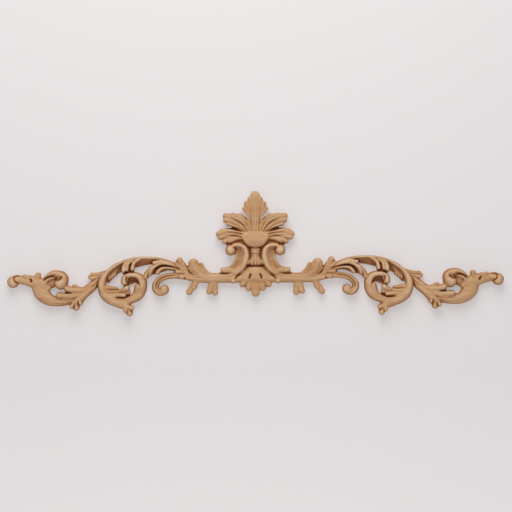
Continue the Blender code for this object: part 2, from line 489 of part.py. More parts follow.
if __name__ == "__main__":
    build()
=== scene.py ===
"""The looks of a carved beech pediment: a palmette on two C scrolls, with a leafy scrolled wing to each side.

Metres, +Z up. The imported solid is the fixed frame. One finely carved piece stands in its place, worked out
on squared paper: every band of wood, leaf and groove is a stroke of a gouge along a smooth path.
"""

import sys

import logging
import math
from dataclasses import dataclass, fields
from enum import Enum
from typing import Any, Protocol

import bmesh
import bpy
import numpy as np
from mathutils import Matrix, Vector


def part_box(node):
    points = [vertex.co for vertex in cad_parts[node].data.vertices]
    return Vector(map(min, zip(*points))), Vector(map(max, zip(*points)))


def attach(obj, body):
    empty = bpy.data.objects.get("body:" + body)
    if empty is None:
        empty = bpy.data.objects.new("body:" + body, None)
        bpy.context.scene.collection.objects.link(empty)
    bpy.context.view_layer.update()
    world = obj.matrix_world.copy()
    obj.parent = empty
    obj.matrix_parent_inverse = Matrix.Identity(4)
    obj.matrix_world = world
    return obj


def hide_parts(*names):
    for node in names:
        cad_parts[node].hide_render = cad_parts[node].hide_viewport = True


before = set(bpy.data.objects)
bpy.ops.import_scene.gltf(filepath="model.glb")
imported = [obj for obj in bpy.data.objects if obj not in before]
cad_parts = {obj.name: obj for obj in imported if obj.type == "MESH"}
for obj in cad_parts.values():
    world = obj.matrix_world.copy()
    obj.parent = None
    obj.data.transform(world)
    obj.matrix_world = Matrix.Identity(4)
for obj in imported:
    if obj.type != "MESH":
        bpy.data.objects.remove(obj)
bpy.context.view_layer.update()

NODE = "carved_pediment"
BODY = "root"

Point = tuple[float, float]
Place = tuple[float, float, float]
Path = tuple[Point, ...]
Numbers = tuple[float, ...]
Range = tuple[float, float]
Tint = tuple[float, float, float]
Colour = tuple[float, float, float, float]
Value = Any
Inputs = dict[str | int, Value]

log = logging.getLogger("pediment")

# Heights of the kinds of carving, as shares of the relief.
BUD = 0.92
TIP = 0.76
VINE = 0.66
LEAF = 0.62
SPRIG = 0.54
FLOOR = 0.26

# A lobe widens with the share along it raised to the first, and dips by the second between root and end.
LOBE_SWELL = 0.8
LOBE_SAG = 0.02

# How far inside the outline a place counts before any wood is left there, in squares.
UNTOUCHED = -99.0

# A noise swings about this value.
NOISE_MEAN = 0.5


@dataclass(frozen=True)
class Sheet:
    """The squared paper that the right half is drawn on, X from the middle and Z up from the stem's line.

    Attributes:
        across: squares from tip to tip.
        right: the sheet's right edge, in squares.
        bottom: its lower edge.
        top: its upper edge.
        pitch: squares between neighbouring points of the carved surface.
        step: squares between a gouge's stops along its path.
        fewest: the least number of a gouge's stops.
        pace: a path's parameter grows by each chord's length raised to this power.
        reach: squares beyond a stroke's edge up to which the stroke counts.
        moat: width in squares of the fine cut that sets a leaf off from the wood under it.
        moat_rise: such a cut starts one part in this many along its path, and is full at two parts.
        finest: the least half width of a groove, in squares; a finer one is cut as wide and shallower.
    """

    across: float = 497.0
    right: float = 251.2
    bottom: float = -42.6
    top: float = 87.2
    pitch: float = 0.44
    step: float = 0.3
    fewest: int = 8
    pace: float = 0.6
    reach: float = 2.0
    moat: float = 1.1
    moat_rise: float = 3.0
    finest: float = 0.9


SHEET = Sheet()


class Section(Enum):
    """Sections across a band of wood, each given by its fullness and its lean."""

    ROUND = (2.0, 0.0)
    BROAD = (3.4, 0.0)
    COVE = (30.0, 1.0)

    def rise(self, across: np.ndarray) -> np.ndarray:
        """The share of the way from the edge's height up to the crown's.

        A rounded back, which is the square root of one less the share across raised to the fullness, times
        a slope that falls from the left edge to the right by the lean.

        Args:
            across: shares across the band, from -1 at its left edge to 1 at its right.

        Returns:
            The shares, as an array like `across`.
        """
        fullness, lean = self.value
        back = np.sqrt(np.maximum(1 - np.abs(across) ** fullness, 0))
        return back * (1 - lean * (across + 1) / 2)


def natural_cubic(knots: np.ndarray, points: np.ndarray, at: np.ndarray) -> np.ndarray:
    """The smooth curve through the points that bends least between its knots.

    Each span is a cubic whose second derivative runs straight from one knot's value to the next. Those
    values solve a tridiagonal system that keeps the slope unbroken, and are nothing at the two ends.

    Args:
        knots: the parameter's value at each point.
        points: one row for each knot.
        at: the parameter's values to read the curve at.

    Returns:
        One row for each value in `at`.
    """
    gaps = np.diff(knots)
    count = len(knots)
    system = np.eye(count)
    bends = np.zeros((count, points.shape[1]))
    inner = np.arange(1, count - 1)
    system[inner, inner - 1] = gaps[:-1]
    system[inner, inner] = 2 * (gaps[:-1] + gaps[1:])
    system[inner, inner + 1] = gaps[1:]
    rises = np.diff(points, axis=0) / gaps[:, None]
    bends[inner] = 6 * np.diff(rises, axis=0)
    bends = np.linalg.solve(system, bends)
    left = np.clip(np.searchsorted(knots, at, side="right") - 1, 0, count - 2)
    gap = gaps[left][:, None]
    after = (at - knots[left])[:, None]
    before = gap - after
    cubic = (bends[left] * before**3 + bends[left + 1] * after**3) / (6 * gap)
    from_left = (points[left] / gap - bends[left] * gap / 6) * before
    return cubic + from_left + (points[left + 1] / gap - bends[left + 1] * gap / 6) * after


def spread(values: Numbers, count: int) -> np.ndarray:
    """`values` shared out evenly over `count` places; a single number holds all along."""
    given = np.asarray(values, float)
    if len(given) == 1:
        return np.repeat(given, count)
    return np.interp(np.linspace(0, 1, count), np.linspace(0, 1, len(given)), given)


def blurred(field: np.ndarray, width: float) -> np.ndarray:
    """The field smoothed by a bell curve of that width in cells, by scaling its waves one by one."""
    rows = np.fft.fftfreq(field.shape[0])[:, None]
    columns = np.fft.rfftfreq(field.shape[1])[None, :]
    keep = np.exp(-2 * (math.pi * width) ** 2 * (rows**2 + columns**2))
    return np.fft.irfft2(np.fft.rfft2(field) * keep, s=field.shape)


@dataclass
class Swept:
    """What a gouge's path reaches: a window of the sheet and, at each of its places, how it lies there."""

    window: tuple[slice, slice]
    depth: np.ndarray
    across: np.ndarray
    along: np.ndarray
    value: np.ndarray


class Wood:
    """The right half of the blank: how far inside the outline each place is, and how high the wood stands."""

    def __init__(self, sheet: Sheet) -> None:
        """Lays out the places at the sheet's pitch, all of them outside the outline."""
        self.sheet = sheet
        self.xs = np.arange(0, sheet.right + sheet.pitch, sheet.pitch)
        self.zs = np.arange(sheet.bottom, sheet.top + sheet.pitch, sheet.pitch)
        self.inside = np.full((len(self.zs), len(self.xs)), UNTOUCHED)
        self.height = np.zeros_like(self.inside)

    def sweep(self, path: Path, widths: Numbers, values: Numbers) -> Swept:
        """Carries a gouge along the smooth curve through the path's points.

        At each place the stop that counts is the one whose disc covers it most deeply. The share across is
        the distance from the curve, with the side as its sign, over that disc's radius.

        Args:
            path: the points that the gouge passes.
            widths: its half widths, shared out over those points.
            values: crown heights or depths, shared out in the same way.

        Returns:
            The window that it may reach, with the depth inside the stroke, the shares across and along, and
            the value.
        """
        line = np.asarray(path, float)
        chords = np.hypot(*np.diff(line, axis=0).T)
        knots = np.concatenate([[0.0], np.cumsum(chords**self.sheet.pace)])
        stops = np.linspace(0, knots[-1], max(self.sheet.fewest, int(chords.sum() / self.sheet.step)))
        centres = natural_cubic(knots, line, stops)
        half = np.interp(stops, knots, spread(widths, len(line)))
        held = np.interp(stops, knots, spread(values, len(line)))
        ahead = np.gradient(centres, axis=0)
        ahead /= np.hypot(*ahead.T)[:, None]
        reach = half.max() + self.sheet.reach
        (left_end, bottom), (right_end, top) = centres.min(axis=0) - reach, centres.max(axis=0) + reach
        columns = slice(*np.searchsorted(self.xs, [left_end, right_end]))
        rows = slice(*np.searchsorted(self.zs, [bottom, top]))
        east = self.xs[None, None, columns] - centres[:, 0, None, None]
        north = self.zs[None, rows, None] - centres[:, 1, None, None]
        within = half[:, None, None] - np.hypot(east, north)
        best = within.argmax(axis=0)
        depth = np.take_along_axis(within, best[None], axis=0)[0]
        east = np.take_along_axis(east, best[None], axis=0)[0]
        north = np.take_along_axis(north, best[None], axis=0)[0]
        left = ahead[best, 0] * north - ahead[best, 1] * east
        past = np.maximum(np.abs(ahead[best, 0] * east + ahead[best, 1] * north) - self.sheet.step, 0)
        across = np.clip(-np.sign(left) * np.hypot(left, past) / half[best], -1, 1)
        return Swept((rows, columns), depth, across, stops[best] / knots[-1], held[best])

    def carve(self, *cuts: "Cut") -> None:
        """Makes the cuts in order."""
        for cut in cuts:
            cut.make(self)


class Cut(Protocol):
    """Anything that changes the wood."""

    def make(self, wood: Wood) -> None:
        """Makes the cut in the wood."""


@dataclass(frozen=True)
class Band:
    """A band of wood left standing along a path. Where bands overlap, the higher wood stays.

    Its height runs from the edges' up to the crown's by its section. The cut round it is deepest at its edge
    and gone at the sheet's width for such cuts.

    Attributes:
        path: the points it passes, in squares.
        widths: its half widths, shared out over the points.
        crowns: its heights along the middle, as shares of the relief, shared out in the same way.
        section: its shape across.
        edge: the height of its two edges.
        moat: how deep a fine cut sets it off from the wood around it.
    """

    path: Path
    widths: Numbers
    crowns: Numbers
    section: Section = Section.ROUND
    edge: float = 0.3
    moat: float = 0.0

    def make(self, wood: Wood) -> None:
        """Leaves the band standing in the wood."""
        swept = wood.sweep(self.path, self.widths, self.crowns)
        inside, height = wood.inside[swept.window], wood.height[swept.window]
        if self.moat:
            near = np.clip(1 + swept.depth / wood.sheet.moat, 0, 1) * (swept.depth <= 0)
            near *= np.clip(swept.along * wood.sheet.moat_rise - 1, 0, 1)
            height -= self.moat * near * (inside > 0)
        rise = self.edge + (swept.value - self.edge) * self.section.rise(swept.across)
        nearer = np.where(swept.depth > inside, rise, height)
        both = (swept.depth > 0) & (inside > 0)
        height[...] = np.where(both, np.maximum(height, rise), nearer)
        inside[...] = np.maximum(inside, swept.depth)


@dataclass(frozen=True)
class Groove:
    """A cut along a path, deepest at its middle: narrow like a veiner's, or round like a gouge's.

    What it takes is its depth times one less the share across squared, which a narrow cut squares again.

    Attributes:
        path: the points it passes, in squares.
        widths: its half widths, shared out over the points.
        depths: its depths along the middle, as shares of the relief, shared out in the same way.
        round_bottom: whether it is round.
    """

    path: Path
    widths: Numbers
    depths: Numbers
    round_bottom: bool = False

    def make(self, wood: Wood) -> None:
        """Takes the groove out of the wood."""
        count = len(self.path)
        widths = spread(self.widths, count)
        wide = np.maximum(widths, wood.sheet.finest)
        swept = wood.sweep(self.path, tuple(wide), tuple(spread(self.depths, count) * widths / wide))
        share = np.where(swept.depth > 0, np.abs(swept.across), 1)
        taken = (1 - share**2) ** (1.0 if self.round_bottom else 2.0)
        wood.height[swept.window] -= swept.value * taken


@dataclass(frozen=True)
class Slit:
    """A cut along a path that goes right through the wood.

    Attributes:
        path: the points it passes, in squares.
        widths: its half widths, shared out over the points.
    """

    path: Path
    widths: Numbers

    def make(self, wood: Wood) -> None:
        """Takes everything along the path out of the outline."""
        swept = wood.sweep(self.path, self.widths, (0.0,))
        inside = wood.inside[swept.window]
        inside[...] = np.minimum(inside, -swept.depth)


@dataclass(frozen=True)
class Petal:
    """A leaf's lobe: narrow where it springs, broad at its rounded end, with shallow shoulders.

    Attributes:
        path: the points it passes, in squares.
        root: its half width where it springs.
        end: its half width at its end.
        low: its height where it springs.
        high: its height at its end.
        keep: the height of its edges, as a share of the lower of those two.
        moat: how deep a fine cut sets it off from the wood around it.
    """

    path: Path
    root: float
    end: float
    low: float
    high: float
    keep: float = 0.72
    moat: float = 0.0

    def make(self, wood: Wood) -> None:
        """Leaves the lobe standing in the wood."""
        shares = np.linspace(0, 1, len(self.path)) ** LOBE_SWELL
        widths = tuple(self.root + (self.end - self.root) * shares)
        crowns = (self.low, (self.low + self.high) / 2 - LOBE_SAG, self.high)
        edge = self.keep * min(self.low, self.high)
        Band(self.path, widths, crowns, edge=edge, moat=self.moat).make(wood)


@dataclass(frozen=True)
class Hand:
    """Lobes that open like the fingers of a hand from one root, each bent a little on its way.

    Attributes:
        root: where they spring.
        tips: each lobe's end, as its place and its half width.
        low: their height at the root.
        high: their height at the ends.
        root_width: their half width at the root.
        bend: how far each bows, as a share of its length.
        keep: the height of their edges, as a share of their own.
        moat: how deep a fine cut sets each off from the last.
    """

    root: Point
    tips: tuple[tuple[float, float, float], ...]
    low: float
    high: float
    root_width: float
    bend: float = 0.0
    keep: float = 0.72
    moat: float = 0.0

    def make(self, wood: Wood) -> None:
        """Leaves the lobes standing in the wood, one after another."""
        x0, z0 = self.root
        for x, z, width in self.tips:
            middle = ((x0 + x) / 2 - self.bend * (z - z0), (z0 + z) / 2 + self.bend * (x - x0))
            path = (self.root, middle, (x, z))
            Petal(path, self.root_width, width, self.low, self.high, self.keep, self.moat).make(wood)


@dataclass(frozen=True)
class Carver:
    """A sub-assembly of the carving: cuts, or rows of cuts, that are made in the order of its fields."""

    def carve(self, wood: Wood) -> None:
        """Makes every cut in the wood."""
        for field in fields(self):
            cuts = getattr(self, field.name)
            wood.carve(*(cuts if isinstance(cuts, tuple) else (cuts,)))


@dataclass(frozen=True)
class Ground(Carver):
    """The low wood that shows dark between the lobes and joins them."""

    cove: Band = Band(
        ((103, 14.6), (110, 14.9), (120, 13.6), (130, 11.6), (138.4, 8.4), (144.6, 3.6), (148.2, -3.4)),
        (2.4, 3.4, 4.4, 4.8, 5.2, 5.0, 2.8),
        (0.34, 0.38, 0.36, 0.36, 0.36),
        Section.COVE, 0.12,
    )
    curl: Band = Band(
        ((118.6, -4.4), (121, -3.6), (124.4, -4.2), (128, -5.6)), (1.6, 2.6, 3.4, 3.2), (0.2,), edge=0.15
    )
    slot: Band = Band(((127, -19.6), (134, -20.4), (144, -20)), (2.2, 2.6, 3.0), (0.2,), edge=0.15)
    volute: Band = Band(((199, -2.6), (204, -4.6), (209, -8.4)), (4.6, 6.2, 4.6), (0.4,), edge=0.2)
    leaf_gap: Band = Band(((62, 1), (66, 4), (69.5, 7.5)), (2.5, 2.7, 3.6), (0.48,), edge=0.4)
    sprig: Band = Band(((77, 12), (78.8, 14.4)), (1.4, 1.5), (0.4,), edge=0.35)
    spray: Band = Band(
        ((80, 8.6), (88, 10.2), (95, 10.2), (99.4, 8.2), (101.8, 3.6)),
        (1.0, 1.3, 1.5, 2.0, 1.7),
        (0.26,),
        edge=0.2,
    )
    under: Band = Band(((74, 4.6), (82, 6.6), (89, 7.0), (95, 5.2)), (1.2, 1.1, 1.2, 1.4), (0.26,), edge=0.2)
    rim_gap: Band = Band(((92, 15.4), (100, 16.4), (106, 16.4)), (1.4,), (0.34,), edge=0.3)
    inner_gap: Band = Band(((128, -17.4), (140, -17)), (1.2, 1.4), (0.3,), edge=0.3)
    middle: Band = Band(((0, 4), (0, 33)), (11, 12), (0.36,))
    scroll_foot: Band = Band(((4, 8), (16, 1)), (5, 4), (0.36,))
    scroll_top: Band = Band(((12, 34), (27, 32.6)), (4, 2.6), (0.36,))
    rim: Band = Band(((123.6, 6.2), (131, 4.8)), (2.2, 2.7), (FLOOR,), edge=0.15)
    tendril: Band = Band(((72, 3.8), (81, 4.2)), (1.4, 1.0), (0.3,))
    low_leaf: Band = Band(((14, 39), (31, 38.6)), (3, 3), (0.5,), edge=0.4)
    side_gap: Band = Band(((13, 45), (22, 48)), (1.7, 1.9), (0.3,), edge=0.28)
    top_gap: Band = Band(((3.4, 70), (6.4, 74.4)), (3.0, 1.4), (0.5,), edge=0.4)
    top_root: Band = Band(((4.6, 62), (9.4, 68.8)), (2.6, 1.4), (0.5,), edge=0.4)
    drop: Band = Band(((2, -6), (11, -7)), (5, 4), (0.4,))
    notch: Band = Band(((8.8, 55.2), (10.4, 58.4)), (1.7, 1.3), (0.46,), edge=0.4)
    foot: Band = Band(((183, -26.4), (186.6, -26.8)), (1.3,), (0.3,))
    bud: Band = Band(((129, -8.4), (131, -9)), (1.0,), (0.3,))
    sliver: Band = Band(((122.8, -0.8), (127.4, -1.6)), (1.0, 1.4), (0.3,))
    lobe_gap: Band = Band(((125.6, 11), (125.8, 8)), (0.8, 1.1), (0.36,))
    web: Band = Band(((184.6, -15.4), (189.4, -15.3)), (1.9, 1.5), (0.46,))


@dataclass(frozen=True)
class Vine(Carver):
    """The outer S vine, from behind the ring to the volute, with its two leaves and its foot."""

    stalk: Band = Band(
        (
            (152, 1), (157.5, -3.5), (164, -9.8), (172, -15.7), (181, -20.2), (190, -23.2), (200, -24),
            (209, -21.7), (215.5, -15), (218, -7),
        ),
        (3.5, 4.0, 4.8, 5.4, 5.4, 5.2, 5.2, 5.8, 6.8, 6.0),
        (0.42, 0.58, VINE, VINE, SPRIG),
    )
    shoulder: Band = Band(((205, -22), (211, -16), (213, -9)), (4, 5.2, 4), (0.5, 0.6, 0.56))
    near_leaf: tuple[Petal, ...] = (
        Petal(((166, -11.2), (175, -12), (181.4, -9.7)), 1.6, 2.4, 0.56, 0.64, moat=0.1),
        Petal(((168, -12.6), (178.6, -13.8), (188.4, -11.7)), 1.8, 3.2, 0.6, 0.76, moat=0.16),
    )
    far_leaf: Petal = Petal(
        ((172, -16.2), (183, -18.2), (190, -18.7), (196.5, -18.2)), 2.0, 3.1, LEAF, 0.72, moat=0.16
    )
    flutes: tuple[Groove, ...] = (
        Groove(
            ((158.4, -5), (164, -10.6), (172, -17), (180, -21), (190, -23.4), (200, -22.6)),
            (0.6, 1.1, 1.2, 0.6),
            (0.15,),
        ),
        Groove(
            ((186, -25), (189, -26.6), (196, -26.8), (204, -25.6)),
            (1.0, 1.1, 1.0, 0.4),
            (0.16, 0.14, 0.1, 0.04),
        ),
    )
    shin: Band = Band(
        ((164, -12), (171, -17.6), (177, -23.4), (180.2, -27.8)),
        (2.2, 3.6, 4.6, 4.2),
        (0.6, 0.68, 0.74, 0.72),
    )
    foot: Hand = Hand(
        (178, -23), ((175.7, -26.2, 2.6), (179.5, -30.9, 2.8), (183.2, -29.2, 2.7)), 0.74, TIP, 2.6, moat=0.1
    )
    toes: tuple[Groove, ...] = (
        Groove(((177.4, -24.4), (177.4, -26.8), (176.2, -29.6)), (0.5, 1.1, 0.9), (0.34,)),
        Groove(((180.6, -26.8), (181.4, -29.2), (182.0, -32.4)), (0.4, 0.9, 0.7), (0.3,)),
    )


@dataclass(frozen=True)
class Volute(Carver):
    """The rolled end of the vine with its bud, and the tail that runs on to the wing's tip."""

    roll: Band = Band(
        (
            (216.5, -10), (212.6, -4.2), (209.5, -0.2), (206, 2.3), (202.2, 3.7), (198, 3.2), (194.2, 2.2),
            (191.3, -0.6), (191.6, -4.4),
        ),
        (2.4, 2.1, 2.2, 2.4, 2.9, 3.6, 3.8, 3.7, 4.0),
        (0.54, 0.6, 0.66, 0.74, 0.82, 0.86),
    )
    channel: Groove = Groove(
        ((200.6, 2.0), (204.6, 1.3), (208.6, -0.6), (211.6, -3.4), (213.8, -5.6)),
        (0.5, 0.9, 1.1, 1.2, 0.7),
        (0.34,),
    )
    bud: Band = Band(((194.2, -5.6), (194.8, -6.4)), (6.3, 6.1), (BUD,))
    notch: Groove = Groove(
        ((193.4, 0.8), (194.8, -1.7), (197.4, -3.0), (200.4, -2.2)), (0.3, 0.9, 1.0, 0.5), (0.34,)
    )
    inner: Band = Band(
        ((201, -0.9), (204, -0.9), (207.7, -2.4), (210.3, -5.4), (211.4, -9.6)),
        (1.1, 1.5, 1.7, 1.8, 1.8),
        (0.56, 0.62, 0.6, 0.54),
        moat=0.2,
    )
    ball: Band = Band(
        ((211.8, -12.4), (209.2, -11.2), (207.4, -10.8)), (1.6, 2.2, 2.7), (0.44, 0.5), moat=0.1
    )
    tail: Band = Band(
        ((214, -8), (221, -5), (228, -3.4), (234, -2.5), (238.6, -2.0), (242, -3.0)),
        (6.5, 6.3, 5.0, 4.2, 4.3, 4.6),
        (0.55, 0.58, 0.56, 0.6, 0.66, 0.7),
    )
    end: Band = Band(((242.9, -4.4), (242.7, -5.0)), (5.5,), (0.86,))
    curls: tuple[Groove, ...] = (
        Groove(
            ((236.4, 0.8), (239.4, 1.2), (241.4, -0.8), (240.6, -3.8), (238.4, -5.4)),
            (0.5, 1.1, 1.3, 1.1, 0.8),
            (0.34,),
        ),
        Groove(((243.2, 0.2), (245.2, -2.2), (245.2, -5.4)), (0.4, 0.9, 0.4), (0.14,)),
    )
    crests: tuple[Hand, ...] = (
        Hand((219, -5), ((217.6, 2.2, 2.7),), 0.56, 0.6, 3.4),
        Hand((225, -4), ((226.6, 0.5, 1.9), (231.0, 1.1, 1.9)), 0.56, 0.6, 2.0, moat=0.06),
    )
    eye: Groove = Groove(((224.9, -2.2), (224.1, -4.2)), (1.0, 1.3), (0.34,))


@dataclass(frozen=True)
class Ring(Carver):
    """The great ring: a rim that rises from the stem, turns inwards and ends in a bud."""

    parting: Groove = Groove(
        ((154.6, 3.4), (156.8, -2.4), (158.4, -8.6), (158.8, -12.2)),
        (0.4, 0.8, 1.2, 1.0),
        (0.06, 0.14, 0.3, 0.26),
    )
    rim: Band = Band(
        (
            (80, 11.6), (90, 15.6), (100, 18.0), (110, 18.8), (120, 18.1), (130, 15.8), (138, 12.2),
            (146, 6.6), (151.2, 0.4), (153.6, -5.5), (153.4, -12.5), (150.2, -18.8), (144, -23.4), (136, -26),
            (128, -25.6),
        ),
        (1.8, 1.7, 1.4, 1.3, 1.4, 1.4, 1.5, 2.0, 3.0, 3.8, 4.3, 4.8, 4.9, 4.5, 3.6),
        (0.5, LEAF, LEAF, VINE, 0.72, 0.76, 0.76, 0.62),
    )
    inner_lobes: tuple[Petal, ...] = (
        Petal(((136, 10.5), (139.4, 6.2), (140.9, 1.6)), 1.0, 1.9, 0.28, 0.5, 0.6, moat=0.1),
        Petal(((139, 9), (143, 3.6), (143.9, -0.6)), 1.0, 1.9, 0.28, 0.5, 0.6, moat=0.1),
        Petal(((142.4, 6.6), (146, 1.4), (146.4, -2.2)), 1.0, 1.6, 0.28, 0.48, 0.6, moat=0.1),
    )
    hanging_lobes: tuple[Petal, ...] = (
        Petal(((116, 17.4), (121.4, 13.6), (123.1, 7.9)), 1.4, 2.4, 0.6, 0.72, moat=0.2),
        Petal(((123, 16.8), (127.2, 12.6), (128.6, 7.2)), 1.6, 2.2, 0.62, 0.76, moat=0.2),
        Petal(((126, 16), (131.0, 11.6), (131.9, 6.3)), 1.6, 2.4, 0.62, 0.74, moat=0.14),
    )
    turn: Band = Band(
        (
            (140, -23.5), (131, -24.6), (123.6, -22.4), (117.9, -18.3), (115.3, -12), (113.8, -6),
            (114.9, -1.9), (118.2, 0.9), (122.4, 1.8), (127, 1.4), (130.8, -1.4), (131.2, -5.2),
        ),
        (3.0, 3.6, 4.2, 5.4, 6.3, 4.9, 4.0, 3.2, 2.7, 2.5, 3.0, 3.5),
        (0.6, 0.68, 0.7, 0.7, 0.74, 0.82),
    )
    crescent: Groove = Groove(
        ((116.4, -8), (118.0, -4.9), (121.0, -2.8), (125.2, -3.0), (127.6, -5.2)),
        (0.4, 1.3, 1.9, 1.7, 1.2),
        (0.4,),
        True,
    )
    sliver: Petal = Petal(((124.6, 1.2), (127.6, -0.4), (127.7, -3.6)), 0.9, 1.0, 0.62, 0.62, 0.6, moat=0.2)
    crease: Groove = Groove(((127.4, 1.6), (129.0, -0.6), (129.2, -4.6)), (0.3, 0.7, 0.6), (0.26,))
    flute: Groove = Groove(
        ((116.6, -6.4), (116.0, -11), (117.8, -16.6), (122.4, -21.4), (129, -23.6)),
        (0.5, 1.4, 1.5, 1.2, 0.5),
        (0.07,),
        True,
    )
    strip: Groove = Groove(
        ((127, -22.4), (134, -23.8), (142, -22.6), (147, -19)), (0.3, 0.7, 0.7, 0.3), (0.08,)
    )


@dataclass(frozen=True)
class RingLeaves(Carver):
    """The leaf that sweeps across the ring, the ring's foot and the sprig beside it."""

    lobes: tuple[Petal, ...] = (
        Petal(((150, -16.6), (139, -15.5), (133, -15.3), (127.5, -15.3)), 3.2, 2.3, 0.58, 0.6, 0.84),
        Petal(((151, -19.5), (141, -18.4), (136, -18.1), (131.3, -18.6)), 2.6, 2.0, 0.6, 0.66, 0.84, 0.1),
        Petal(((153, -10.8), (146, -11.0), (139.2, -12.0)), 2.6, 1.8, LEAF, LEAF),
    )
    neck: Band = Band(
        ((152, -15), (142, -14.8), (135.4, -14.0), (131.4, -12.6), (128.8, -11.5)),
        (2.6, 1.7, 1.4, 2.2, 2.9),
        (0.62, 0.64, 0.62, 0.7, 0.8),
        edge=0.46, moat=0.1,
    )
    crevice: Groove = Groove(((147, -12.8), (141, -12.9), (136.4, -12.6)), (0.4, 0.9, 1.0), (0.14,))
    shin: Band = Band(
        ((148, -21), (138, -26.6), (131, -29.6), (127.6, -31.4)), (3.5, 4.2, 3.4, 3.4), (0.6, 0.66, 0.72)
    )
    palm: Band = Band(((131, -28.6), (127.6, -32.4), (126.4, -35.8)), (3.2, 4.0, 3.2), (0.7, 0.74, 0.72))
    foot: Hand = Hand(
        (130.6, -28.6),
        ((124.3, -31.5, 2.4), (126.0, -36.9, 2.8), (129.7, -33.7, 2.6)),
        0.7, TIP, 2.8, keep=0.8,
    )
    toes: tuple[Groove, ...] = (
        Groove(((127.0, -32.0), (125.4, -33.4), (122.4, -34.2)), (0.3, 1.0, 0.8), (0.2,)),
        Groove(((128.0, -31.6), (127.8, -34.4), (129.0, -37.0)), (0.3, 1.0, 0.8), (0.2,)),
    )
    heel: Groove = Groove(((121.4, -26.4), (124.2, -28.2), (128, -27.8)), (0.5, 0.9, 0.4), (0.2,))
    sprig_stalk: Band = Band(((148, 5.6), (156, 2.4), (162, 1.1)), (1.6, 2.4, 3.0), (0.5, 0.56))
    sprig: Hand = Hand(
        (157, 1.2), ((163.6, 2.6, 1.9), (165.6, 0.3, 2.0), (163.8, -1.6, 1.9)), 0.52, 0.6, 2.0, moat=0.1
    )
    sprig_flute: Groove = Groove(((156, 1.4), (160, 1.0), (164, 0.9)), (0.5, 1.1, 0.5), (0.12,), True)


@dataclass(frozen=True)
class Spray(Carver):
    """The leaves that sweep out of the stem towards the ring, and the tendril under them."""

    blade: Band = Band(
        ((66, 3.5), (77, 9.0), (86, 12.0), (93, 13.0), (99.6, 10.9), (104.2, 7.2), (107, 3.6)),
        (1.8, 2.0, 1.8, 1.8, 2.3, 2.9, 3.6),
        (0.5, 0.6, 0.7, 0.76, 0.7),
        edge=0.34,
    )
    blade_tips: tuple[Petal, ...] = (
        Petal(((102.6, 7.6), (105.0, 4.8), (105.5, 2.5)), 1.4, 2.2, 0.6, LEAF, 0.6),
        Petal(((105.6, 6.6), (108.8, 3.2), (109.8, -0.2)), 1.8, 2.7, 0.64, VINE, 0.6, moat=0.1),
    )
    tip_crease: Groove = Groove(((104.8, 6.6), (107.0, 3.4), (107.4, -0.6)), (0.3, 0.8, 0.8), (0.24,))
    under: Band = Band(
        ((66, 1.5), (77, 6.4), (87, 8.7), (94.0, 8.0), (97.9, 4.3)),
        (1.6, 1.6, 1.4, 1.9, 2.4),
        (0.48, 0.58, 0.66, 0.62),
    )
    parting: Groove = Groove(
        ((75, 7.2), (84, 10.0), (91, 10.9), (96.6, 10.1), (100.2, 7.2), (101.8, 3.4)),
        (0.4, 0.9, 1.2, 1.4, 1.5, 1.2),
        (0.3,),
    )
    lappet: Petal = Petal(((82, 11.6), (92, 14.8), (101.3, 13.9)), 1.6, 2.1, 0.58, 0.72, moat=0.16)
    tendril: Band = Band(
        (
            (58, -2), (70, -0.4), (80.4, 0.8), (88.7, 0), (93.8, -1.8), (97.4, -4.2), (99.8, -7.2),
            (100.2, -11), (98.4, -14.6), (94.6, -16.2), (91.2, -14.6),
        ),
        (2.5, 2.6, 2.9, 2.95, 3.0, 3.0, 3.3, 3.5, 3.5, 3.3, 3.6),
        (0.5, 0.58, 0.6, 0.6, 0.66, 0.72),
    )
    ball: Band = Band(((91.3, -13.4), (91.3, -13.0)), (4.5,), (0.72,), Section.BROAD)
    flutes: tuple[Groove, ...] = (
        Groove(
            ((77, 1.2), (84, 1.0), (89.6, 0.1), (94, -1.8), (97.8, -5.2), (99.6, -9.2), (98.4, -13)),
            (0.5, 0.9, 1.1, 1.2, 1.2, 1.0, 0.5),
            (0.24,),
        ),
        Groove(((88, -16.0), (92.4, -17.3), (96.6, -15.4), (97.2, -12)), (0.3, 0.7, 0.8, 0.3), (0.14,)),
    )
    low_leaf: Petal = Petal(((64, 0.4), (72, 3.9), (79.0, 4.5)), 1.5, 1.7, 0.5, 0.6, moat=0.1)


